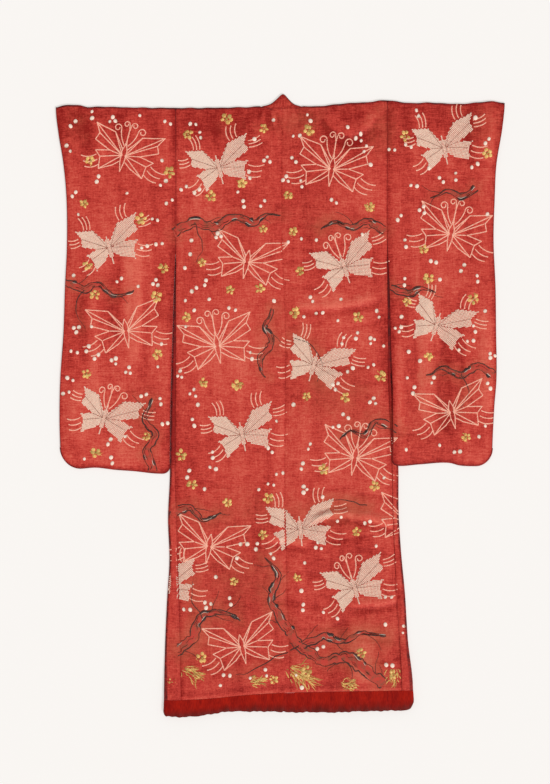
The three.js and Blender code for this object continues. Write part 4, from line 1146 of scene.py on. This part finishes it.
# x, down, turn in degrees, size, lean (how much narrower the left half is), and how it is worked
butterflies = [
    (-432, 138, -14, 1.0, 0.08, "curled"), (-470, 392, 16, 0.98, 0.2, "filled"),
    (-424, 622, 9, 1.02, 0.0, "outlined"), (-486, 862, -17, 1.0, 0.22, "filledCurled"),
    (452, 118, 13, 0.97, 0.2, "filled"), (470, 356, -12, 1.02, 0.05, "curled"),
    (430, 606, -19, 1.0, 0.24, "filled"), (474, 846, 12, 1.0, 0.06, "outlined"),
    (-168, 172, 15, 1.0, 0.22, "filled"), (142, 176, -9, 1.04, 0.04, "curled"),
    (-92, 432, -12, 1.02, 0.08, "outlined"), (178, 446, 19, 1.0, 0.2, "filledCurled"),
    (-172, 664, 10, 1.05, 0.05, "curled"), (92, 716, -16, 1.02, 0.22, "filled"),
    (-104, 908, 12, 1.0, 0.18, "filled"), (206, 972, -11, 1.04, 0.05, "curled"),
    (-196, 1216, -10, 1.04, 0.06, "outlined"), (56, 1168, 6, 1.02, 0.12, "filled"),
    (206, 1330, 17, 1.0, 0.2, "filledCurled"), (-104, 1492, 13, 1.02, 0.05, "outlined"),
    (-318, 1330, 8, 0.96, 0.1, "filled"), (354, 1150, -10, 0.98, 0.1, "outlined"),
]


def arc(start, end, bow, steps=10):
    start, end = np.array(start, float), np.array(end, float)
    aside = np.array([end[1] - start[1], start[0] - end[0]]) / np.linalg.norm(end - start)
    share = np.linspace(0, 1, steps)[:, None]
    return start + (end - start) * share + aside * bow * 4 * share * (1 - share)


def streamerLines(shape):
    first = [np.array(shape["start"]) + k * np.array(shape["apart"]) for k in range(3)]
    last = [np.array(shape["end"]) + k * np.array(shape["apartAtEnd"]) for k in range(3)]
    return [arc(a, b, shape["bow"]) for a, b in zip(first, last)]


def feelerLine(shape):
    angle = np.linspace(0, 2 * math.pi * shape["turns"], 30)
    size = shape["curl"] * (1 - (1 - tieWork.curlCloses) * angle / angle[-1])
    heart = np.array(shape["curlAt"]) + (shape["curl"], 0)
    curl = heart + np.stack([-size * np.cos(angle), size * np.sin(angle)], axis=1)
    return np.concatenate([arc(shape["start"], shape["curlAt"], shape["bow"], 7), curl[1:]])


def wingLine(names):
    return np.array([wing[name] for name in names], float)


def butterflyDrawing(work):  # lines to be dotted, panels to be filled and folds between them, right half
    lines = streamerLines(streamers)
    if work in ("curled", "filledCurled"):
        lines += [feelerLine(shape) for shape in feelers]
    if work in ("curled", "outlined"):
        return lines + [wingLine(wingRim)] + [wingLine(rib) for rib in outlineRibs], [], []
    lines += streamerLines(sideStreamers)
    if work == "filled":
        lines += streamerLines(risingStreamers)
    return lines, [wingLine(panel) for panel in wingPanels], [wingLine(rib) for rib in foldRibs]


def dotLine(line, pitch):  # places and direction along a line
    line = np.array(line, float)
    gone = goneAlong(line)
    at = (np.arange(int(gone[-1] / pitch)) + 0.5) * pitch
    u, v = np.interp(at, gone, line[:, 0]), np.interp(at, gone, line[:, 1])
    ahead = np.interp(at + 0.5, gone, line[:, 0]) - np.interp(at - 0.5, gone, line[:, 0])
    upward = np.interp(at + 0.5, gone, line[:, 1]) - np.interp(at - 0.5, gone, line[:, 1])
    return np.stack([u, v, np.arctan2(-ahead, upward)], axis=1)


def fillPanel(panel, pitch):  # rows of dots square to the panel's own middle line
    heart = panel.mean(axis=0)
    way = (heart - panel[0]) / np.linalg.norm(heart - panel[0])
    aside = np.array([way[1], -way[0]])
    steps = np.arange(-30, 31) * pitch
    along, across = (grid.ravel() for grid in np.meshgrid(steps, steps))
    dots = heart + along[:, None] * way + across[:, None] * aside
    inside = np.zeros(len(dots), bool)
    for start, end in zip(panel, np.roll(panel, -1, axis=0)):  # inside is across an odd number of them
        level = (start[1] > dots[:, 1]) != (end[1] > dots[:, 1])
        crossing = start[0] + (dots[:, 1] - start[1]) * (end[0] - start[0]) / (end[1] - start[1] + 1e-9)
        inside ^= level & (dots[:, 0] < crossing)
    dots = dots[inside]
    return np.concatenate([dots, np.full((len(dots), 1), math.atan2(-way[0], way[1]))], axis=1)


def butterflyDots():
    draw = np.random.default_rng(11)
    chain, fill, folds = [], [], []
    for x, down, turn, size, lean, work in butterflies:
        lines, panels, ribs = butterflyDrawing(work)
        pitch = tieWork.chainPitch / size
        parts = [(dotLine(line, pitch), half, chain) for half in (1, -1) for line in lines]
        if panels:
            filled = [(1, np.array(insect, float))] + [(half, panel) for half in (1, -1) for panel in panels]
            parts += [(fillPanel(panel, tieWork.fillPitch / size), half, fill) for half, panel in filled]
            parts += [(dotLine(rib, tieWork.foldPitch), half, folds) for half in (1, -1) for rib in ribs]
        else:
            parts.append((dotLine(insect, pitch), 1, chain))
        spin = math.radians(turn)
        for dots, half, kind in parts:
            if not len(dots):
                continue
            narrow = 1 - lean if half < 0 else 1
            tilt = tieWork.leanTilt * lean if half < 0 else 0
            u = dots[:, 0] * half * narrow
            v = dots[:, 1] + tilt * np.abs(u)
            px = x + size * (u * math.cos(spin) - v * math.sin(spin))
            pd = down - size * (u * math.sin(spin) + v * math.cos(spin))
            if kind is folds:
                halfWidth = halfLength = np.full(len(dots), tieWork.foldHalf)
            elif kind is fill:
                halfWidth = halfLength = tieWork.fillHalf * draw.uniform(0.94, 1.04, len(dots))
            else:
                halfWidth = tieWork.chainHalf[0] * draw.uniform(0.85, 1.1, len(dots))
                halfLength = tieWork.chainHalf[1] * draw.uniform(0.9, 1.05, len(dots))
            extra = tieWork.foldExtra if kind is folds else 0
            rise = tieWork.rise * draw.uniform(0.7, 1.2, len(dots)) + extra
            spinOf = dots[:, 2] * half + spin + draw.normal(0, 0.06, len(dots))
            shade = draw.random(len(dots))
            kind.append(np.stack([px, pd, spinOf, halfWidth, halfLength, rise, shade], axis=1))
    return np.concatenate(chain), np.concatenate(fill), np.concatenate(folds)


# --- buds and blossoms ---


def scatterFlowers():
    draw = np.random.default_rng(29)
    centres = np.array([row[:2] for row in butterflies], float)
    blossoms, groups = [], []

    def clear(x, down, margin):
        here = np.array([x]), np.array([down])
        if marginAt(*here, panelAt(*here))[0] < margin:
            return False
        toWings = np.hypot((centres[:, 0] - x) * scatterSizes.wingsSquash,
                           centres[:, 1] - scatterSizes.wingsAbove - down)
        toBranch = np.hypot(branchPoints[:, 0] - x, branchPoints[:, 1] - down) - branchPoints[:, 2]
        return toWings.min() > scatterSizes.clearOfWings and toBranch.min() > scatterSizes.clearOfBranch

    def tryPlaces(found, wanted, apart, margin, others=()):
        for _ in range(wanted * scatterSizes.tries):
            if len(found) >= wanted:
                break
            x, down = (draw.uniform(low, high) for low, high in zip(scatterSizes.low, scatterSizes.high))
            near = [math.hypot(x - a, down - b) for a, b in found]
            far = [math.hypot(x - a, down - b) for a, b in others]
            if min(near, default=1e9) <= apart or min(far, default=1e9) <= scatterSizes.budFromBlossom:
                continue
            if clear(x, down, margin):
                found.append((x, down))
    tryPlaces(blossoms, scatterSizes.blossoms, scatterSizes.blossomApart, scatterSizes.blossomEdge)
    tryPlaces(groups, scatterSizes.budGroups, scatterSizes.budApart, scatterSizes.budEdge, blossoms)
    buds = []
    for x, down in groups:
        way = draw.uniform(0, 2 * math.pi)
        count = draw.choice([1, 1, 2, 2, 2, 3])
        for k in range(count):
            half = draw.uniform(*scatterSizes.budHalf)
            out = draw.uniform(*scatterSizes.budSpread) if count > 1 else 0
            spin = way + k * 2 * math.pi / count + draw.uniform(-0.4, 0.4)
            buds.append((x + out * math.cos(spin), down + out * math.sin(spin), draw.uniform(-0.8, 0.8),
                         half * draw.uniform(0.8, 1), half, scatterSizes.budRise, draw.random()))
    petals = []

    def addPetal(x, down, out, spin, wide, tall, rise, shade):
        petals.append((x - out * math.sin(spin), down - out * math.cos(spin), spin, wide, tall, rise, shade))

    for x, down in blossoms:
        turn = draw.uniform(0, 2 * math.pi)
        half = scatterSizes.blossomHalf * draw.uniform(0.85, 1.15)
        for k in range(scatterSizes.petals):
            spin = turn + k * 2 * math.pi / scatterSizes.petals + draw.uniform(-0.28, 0.28)
            out = half * draw.uniform(0.5, 0.72)
            wide, tall = half * draw.uniform(0.27, 0.4), half * draw.uniform(0.32, 0.44)
            addPetal(x, down, out, spin, wide, tall, scatterSizes.petalRise, draw.uniform(0, 0.7))
        heart = half * scatterSizes.heartHalf
        petals.append((x + draw.uniform(-1, 1), down + draw.uniform(-1, 1), turn, heart, heart,
                       scatterSizes.heartRise, 0.95))
        for _ in range(scatterSizes.threads):
            spin = draw.uniform(0, 2 * math.pi)
            out = half * draw.uniform(0.35, 1.05)
            wide, tall = draw.uniform(0.8, 1.5), half * draw.uniform(0.12, 0.22)
            addPetal(x, down, out, spin, wide, tall, scatterSizes.threadRise, draw.random())
    return buds, petals


# --- ribbons of thread: branch outlines, bark, twigs and tufts ---

ribbonSizes = Sizes(
    section=[(-1, -0.35), (-0.72, 0.6), (0, 1), (0.72, 0.6), (1, -0.35)], clearOfSeam=1.2, points=3,
)


def cutAtSeams(strokes):
    # the runs of each stroke on each piece; a stroke has rows of x, down, half width and rise
    runs = {name: [] for name in panelNames}
    for stroke in strokes:
        panel = panelAt(stroke[:, 0], stroke[:, 1])
        margin = marginAt(stroke[:, 0], stroke[:, 1], panel)
        panel = np.where(margin > ribbonSizes.clearOfSeam, panel, -1)
        breaks = np.flatnonzero(np.diff(panel)) + 1
        for run in np.split(np.arange(len(panel)), breaks):
            if len(run) >= ribbonSizes.points and panel[run[0]] >= 0:
                runs[panelNames[panel[run[0]]]].append(stroke[run])
    return runs


def ribbons(name, strokes, panel, finish, slot):
    if not strokes:
        return None
    section = np.array(ribbonSizes.section)
    around = len(section)
    points, quads, caps, along, shade, total = [], [], [], [], [], 0
    for number, stroke in enumerate(strokes):
        way = wayAlong(stroke)
        px = stroke[:, :1] + section[:, 0] * stroke[:, 2:3] * -way[:, 1:2]
        pd = stroke[:, 1:2] + section[:, 0] * stroke[:, 2:3] * way[:, :1]
        lift = np.where(section[:, 1] < 0, section[:, 1], section[:, 1] * stroke[:, 3:4])
        z = topAt(px, pd, np.full(px.shape, panelNames.index(panel))) + lift
        points.append(laidAt(px, pd, z).reshape(-1, 3))
        ring = np.arange(len(stroke) * around).reshape(-1, around) + total
        following = np.roll(ring, -1, axis=1)
        quads.append(np.stack([ring[:-1], following[:-1], following[1:], ring[1:]], axis=-1).reshape(-1, 4))
        caps += [ring[0][::-1], ring[-1]]
        along.append(np.repeat(goneAlong(stroke) * millimetre, around))
        varied = (number * 0.618) % 1 * 0.6 + stroke[:, 2].max() / 7
        shade.append(np.full(ring.size, min(1, varied)))
        total += ring.size
    piece = joinedMesh(name, np.concatenate(points), [np.concatenate(quads), np.array(caps)],
                       along=np.concatenate(along), shade=np.concatenate(shade))
    alone(piece)
    onWholeMesh((bpy.ops.mesh.normals_make_consistent, {"inside": False}))
    return finished(piece, finish, slot, smooth=80)


def branchStrokes():
    draw = np.random.default_rng(41)
    outlines, bark, lights = [], [], []

    def swelling(path, half):  # a short stroke, thick in its middle
        weight = half * np.sin(np.linspace(0.35, math.pi - 0.35, len(path)))
        return np.column_stack([path, weight, np.full(len(path), branchLook.rise * 1.3)])

    def sprig(start, way, length):  # a side twig, which thins out to its end
        bend = way + draw.uniform(-0.5, 0.5)
        middle = start + length * 0.5 * np.array([math.cos(way), math.sin(way)])
        end = middle + length * 0.5 * np.array([math.cos(bend), math.sin(bend)])
        halves = [arc(a, b, draw.uniform(-2, 2), 7) for a, b in ((start, middle), (middle, end))]
        path = np.concatenate([halves[0], halves[1][1:]])
        half = branchLook.twigHalf * np.linspace(1.2, 0.6, len(path))
        outlines.append(np.column_stack([path, half, half]))

    def howMany(spacing):
        return max(1, int(at[-1] / spacing))

    for branch in branches:
        line, at = branch["line"], branch["at"]
        x, down, half = line.T
        way = wayAlong(line)
        aside = np.stack([-way[:, 1], way[:, 0]], axis=1)
        if branch["kind"] == "twig":
            half = np.maximum(half, branchLook.leastHalf)
            outlines.append(np.stack([x, down, half, half * 0.6], axis=1))
            continue
        for sign in (-1, 1):
            knobs = 1 + branchLook.wobble * (unevenness(at, 21, draw) + unevenness(at, 8, draw))
            edge = line[:, :2] + aside * (half * knobs * sign)[:, None]
            weight = branchLook.outline * (1.1 + 0.65 * unevenness(at, 14, draw))
            outlines.append(np.column_stack([edge, weight, np.full(len(at), branchLook.rise)]))
            for start in draw.integers(1, max(2, len(at) - 8), howMany(branchLook.knotEvery)):
                run = slice(start, start + draw.integers(4, 8))
                outlines.append(swelling(edge[run], branchLook.knotHalf * draw.uniform(0.6, 1.2)))
                pale = edge[run] - aside[run] * sign * draw.uniform(3.2, 4.4)  # a pale thread beside the knot
                lights.append(swelling(pale, draw.uniform(0.9, 1.6)))
            for start in draw.integers(1, max(2, len(at) - 9), howMany(branchLook.grainEvery)):
                run = slice(start, start + draw.integers(4, 9))
                grain = edge[run] - aside[run] * sign * (half[run] * draw.uniform(0.3, 0.95))[:, None]
                outlines.append(swelling(grain, branchLook.grainHalf * draw.uniform(0.7, 1.3)))
            for start in draw.integers(2, len(at) - 2, howMany(branchLook.twigEvery)):
                towards = math.atan2(*(aside[start] * sign * 0.8 + way[start])[::-1])
                sprig(edge[start], towards + draw.uniform(-0.4, 0.4), draw.uniform(*branchLook.twigLength))
        bark.append(np.column_stack([line[:, :2], half * 0.96, np.full(len(at), branchLook.barkRise)]))
    return outlines, bark, lights


tufts = [  # sheaves of gold strokes: x and down where each starts, its length, and its turn below level
    (-266, 1548, 66, 28), (20, 1546, 96, 32), (318, 1548, 50, 100), (-84, 1586, 52, -8), (166, 1590, 50, 8),
]
tuftLook = Sizes(density=66 / 80, spread=7, fan=0.34, splay=0.03, reach=(0.16, 0.42), half=(0.9, 1.7))


def tuftStrokes():
    draw = np.random.default_rng(5)
    strokes = []
    for x, down, length, turn in tufts:
        spine = np.array([math.cos(math.radians(turn)), math.sin(math.radians(turn))])
        for _ in range(int(tuftLook.density * length)):
            along, aside = draw.uniform(0, 0.75) * length, draw.normal(0, tuftLook.spread)
            start = np.array([x, down]) + spine * along + np.array([-spine[1], spine[0]]) * aside
            spin = math.radians(turn) + draw.normal(0, tuftLook.fan) + aside * tuftLook.splay
            reach = length * draw.uniform(*tuftLook.reach)
            end = start + reach * np.array([math.cos(spin), math.sin(spin)])
            path = arc(start, end, draw.uniform(-3, 3), 7)
            weight = draw.uniform(*tuftLook.half) * np.sin(np.linspace(0.35, math.pi - 0.25, 7))
            strokes.append(np.column_stack([path, weight, weight * 1.1]))
    return strokes


# --- finishes ---


def dotFinish(name, grainy, colours, dimple=None, rim=None, bump=0.0003, rough=0.2):
    # dimple and rim each have where the tint begins, its strength and its colour
    finish = Finish(name, Specular_IOR_Level=0.2)
    ring, shade = finish.carried("ring"), finish.carried("shade")
    grain = finish.noise((900, 900, 900), 1)
    ground = finish.blend(shade * (1 - grainy) + grain * grainy, *colours)
    for place, tint in ((1 - ring, dimple), (ring, rim)):
        if tint:
            begins, strength, colour = tint
            ground = finish.blend(place.within(begins, 1.0) * strength, ground, colour)
    finish.bump(grain, bump, 0.4)
    return finish.set(Base_Color=ground, Roughness=0.7 + grain * rough)


def lineDots():
    return dotFinish("tie_resist_lines", 0, ((255, 200, 176), (250, 176, 150)),
                     dimple=(0.78, 0.4, (214, 104, 84)))


def tieDots():
    return dotFinish("tie_resist_dots", 0.4, ((246, 217, 196), (230, 196, 175)),
                     dimple=(0.72, 0.6, (176, 92, 70)), rim=(0.88, 0.3, (204, 132, 104)))


def foldDots():
    return dotFinish("fold_lines", 0.3, ((120, 58, 44), (168, 84, 62)), bump=0.0002, rough=0.1)


def paleFloss():
    finish = Finish("pale_floss", Specular_IOR_Level=0.3)
    along, shade = finish.carried("along"), finish.carried("shade")
    twist = (along * 4800).wave()
    ground = finish.blend(shade, (236, 224, 206), (150, 140, 128))
    finish.bump(twist, 0.0002, 0.4)
    return finish.set(Base_Color=ground, Roughness=0.5 + shade * 0.1)


def whiteBuds():
    finish = Finish("white_floss", Specular_IOR_Level=0.35)
    side, shade = finish.carried("side"), finish.carried("shade")
    thread = (finish.axis("X") * 5200 + finish.noise((300, 300, 300), 1) * 5).wave()
    soft = finish.noise((420, 420, 420), 2)
    ground = finish.blend(soft, (255, 236, 218), (246, 218, 200))
    # painted shade: one side of each bud is greyed, as if turned away from the light
    rim = (side * 0.5 + soft * 0.5 + (shade - 0.5) * 0.8).within(0.55, 1.15)
    ground = finish.blend(rim * 0.8, ground, (150, 128, 104))
    finish.bump(thread, 0.0002, 0.35)
    return finish.set(Base_Color=ground, Roughness=0.42 + soft * 0.2)


def goldThread():
    finish = Finish("gold_thread", Specular_IOR_Level=0.5)
    shade, side = finish.carried("shade"), finish.noise((240, 240, 240), 2)
    turns = (finish.axis("X") * 4300 + finish.axis("Y") * 3600).wave()
    ground = finish.blend(side.within(0.35, 0.65), (252, 216, 132), (228, 168, 88))
    ground = finish.blend(shade.within(0.35, 0.85) * 0.75, ground, (146, 118, 46))
    ground = finish.blend(turns.within(-0.2, 1.2) * 0.3, ground, (150, 96, 44))
    finish.bump(turns, 0.0002, 0.4)
    return finish.set(Base_Color=ground, Roughness=0.4 + side * 0.2, Metallic=0.1 + shade * 0.15)


def darkThread():
    finish = Finish("dark_floss", Specular_IOR_Level=0.4)
    along, shade = finish.carried("along"), finish.carried("shade")
    twist = (along * 5200 + finish.noise((260, 260, 260), 2) * 6).wave()
    soft = finish.noise((150, 150, 150), 2)
    ground = finish.blend(soft.within(0.35, 0.65), (52, 26, 24), (100, 50, 38))
    ground = finish.blend(twist.within(0.2, 1.0) * 0.3, ground, (128, 80, 60))
    ground = finish.blend(shade.within(0.6, 1.0) * 0.6, ground, (24, 18, 22))
    finish.bump(twist, 0.0003, 0.5)
    return finish.set(Base_Color=ground, Roughness=0.5 + soft * 0.2)


def barkInk():
    finish = Finish("inked_bark", Specular_IOR_Level=0.25)
    streak = finish.noise((70, 70, 60), 4, 0.65)
    fine = finish.noise((420, 420, 300), 2)
    ground = finish.blend(streak.within(0.38, 0.66), (198, 64, 52), (158, 76, 56))
    ground = finish.blend((fine + streak - 0.5).within(0.56, 0.8) * 0.45, ground, (104, 54, 42))
    finish.bump(fine + streak, 0.0003, 0.5)
    return finish.set(Base_Color=ground, Roughness=0.62 + fine * 0.15)


def figuredSilk():
    finish = Finish("figured_silk", Sheen_Weight=0.04, Sheen_Roughness=0.4, Specular_IOR_Level=0.15)
    broad = finish.noise((5, 4, 4), 3, 0.6) - 0.5
    bands = finish.noise((22, 1.7, 2), 2) - 0.5
    cloudy = finish.noise((46, 36, 30), 3, 0.65) - 0.5
    mottle = finish.noise((190, 230, 190), 3, 0.7) - 0.5
    weft = finish.noise((50, 620, 60), 2, 0.6) - 0.5
    slubs = finish.noise((22, 150, 40), 3, 0.6) - 0.5
    warp = finish.noise((340, 30, 60), 2, 0.6) - 0.5
    stain, worn, fold, tone = (finish.carried(name) for name in ("stain", "worn", "fold", "tone"))
    threads = mottle * 1.1 + weft * 1.0 + slubs * 0.3 + warp * 0.5
    # the level mixes random tone and weave with painted shade and highlight: beside seams and edges, and from
    # the creases, painted shade in troughs and a painted highlight on ridges
    level = tone + fold.within(-0.7, 0.9) * 0.45 - 0.2 + broad * 0.65 + bands * 0.55 + cloudy * 0.55 + threads
    ground = finish.blend(level * 2 + 1, (144, 20, 14), (202, 64, 53))
    ground = finish.blend(level * 1.9, ground, (228, 108, 88))
    faded = (stain * 0.85 + cloudy * 0.7 + slubs * 0.3).within(0.05, 0.95)
    ground = finish.blend(faded * 0.5, ground, (174, 94, 64))
    # the dark lines along edges, seams and tucks: wear and painted shade
    patchyWearAndShade = worn * (0.75 + cloudy * 1.6 + slubs)
    ground = finish.blend((worn * 1.4).within(0.05, 1) * 0.45, ground, (136, 22, 22))
    ground = finish.blend(patchyWearAndShade.within(0.3, 0.95) * 0.85, ground, (74, 16, 18))
    ribs = (finish.axis("Y") * 5200).wave() * 0.07
    finish.bump(threads + ribs + cloudy, 0.0008, 0.5)
    return finish.set(Base_Color=ground, Roughness=0.52 - weft * 0.2 + faded * 0.12)


def plainLining():
    finish = Finish("plain_lining", Specular_IOR_Level=0.1)
    bands = finish.noise((34, 4, 4), 4, 0.6) - 0.5
    grain = finish.noise((420, 90, 100), 2) - 0.5
    foot = finish.carried("foot")
    level = bands * 1.2 + grain * 0.8
    ground = finish.blend(level * 2 + 0.5, (132, 10, 4), (178, 28, 10))
    # painted shade: the roll darkens towards its foot, where it curves down away from the light
    ground = finish.blend((foot + bands * 1.1).within(0.4, 1.05) * 0.85, ground, (76, 12, 8))
    finish.bump(grain + bands * 2, 0.0008, 0.5)
    return finish.set(Base_Color=ground, Roughness=0.5 + grain * 0.15)


def paleFloor():  # it glows a little, so that only soft shadows show on it
    finish = Finish("floor", Specular_IOR_Level=0.1, Emission_Color=(*studio.glow, 1),
                    Emission_Strength=studio.glowStrength)
    grey = 0.42 - finish.noise((8, 8, 8), 2) * 0.003
    return finish.set(Base_Color=grey, Roughness=0.9)


print("stage: camera, light and floor")
setCamera()
setLights()
alone()
bpy.ops.mesh.primitive_plane_add(size=studio.floorSize, location=(0, 0, -studio.floorDrop))
floor = bpy.context.object
floor.name = "floor"
floor.data.materials.append(paleFloor())

print("cloth: body lengths, overlap panels, sleeves, collar and hem roll")
silk, lining = figuredSilk(), plainLining()
cloth = {
    "body_left": bodyLength("left", silk),
    "body_right": bodyLength("right", silk),
    "sleeve_left": sleeve("left", silk),
    "sleeve_right": sleeve("right", silk),
    "overlap_left": overlapPanel("left", silk),
    "overlap_right": overlapPanel("right", silk),
    "collar": collarBand(silk),
    "hem_roll": hemRoll(lining),
}

print("tie-resist butterflies, buds and blossoms")
dot, dome, petal = modelDot(6, 0.62), modelDome(12, 8), modelDome(8, 6)
chainDots, fillDots, foldLineDots = butterflyDots()
buds, petals = scatterFlowers()
onPanel = {name: [] for name in panelNames}
for places, label, shape, finish, slot in ((chainDots, "lines", dot, lineDots(), "undyed_silk"),
                                           (fillDots, "wings", dot, tieDots(), "undyed_silk"),
                                           (foldLineDots, "folds", dot, foldDots(), "dark_thread"),
                                           (buds, "buds", dome, whiteBuds(), "undyed_silk"),
                                           (petals, "blossoms", petal, goldThread(), "gold_thread")):
    for panel, rows in byPanel(places).items():
        onPanel[panel].append(strew(f"{label}_{panel}", shape, rows, finish, slot))

print("branches and tufts")
outlines, bark, lights = branchStrokes()
for strokes, label, finish, slot in ((bark, "bark", barkInk(), "dark_thread"),
                                     (outlines, "outlines", darkThread(), "dark_thread"),
                                     (lights, "lights", paleFloss(), "undyed_silk"),
                                     (tuftStrokes(), "tufts", goldThread(), "gold_thread")):
    for panel, runs in cutAtSeams(strokes).items():
        onPanel[panel].append(ribbons(f"{label}_{panel}", runs, panel, finish, slot))
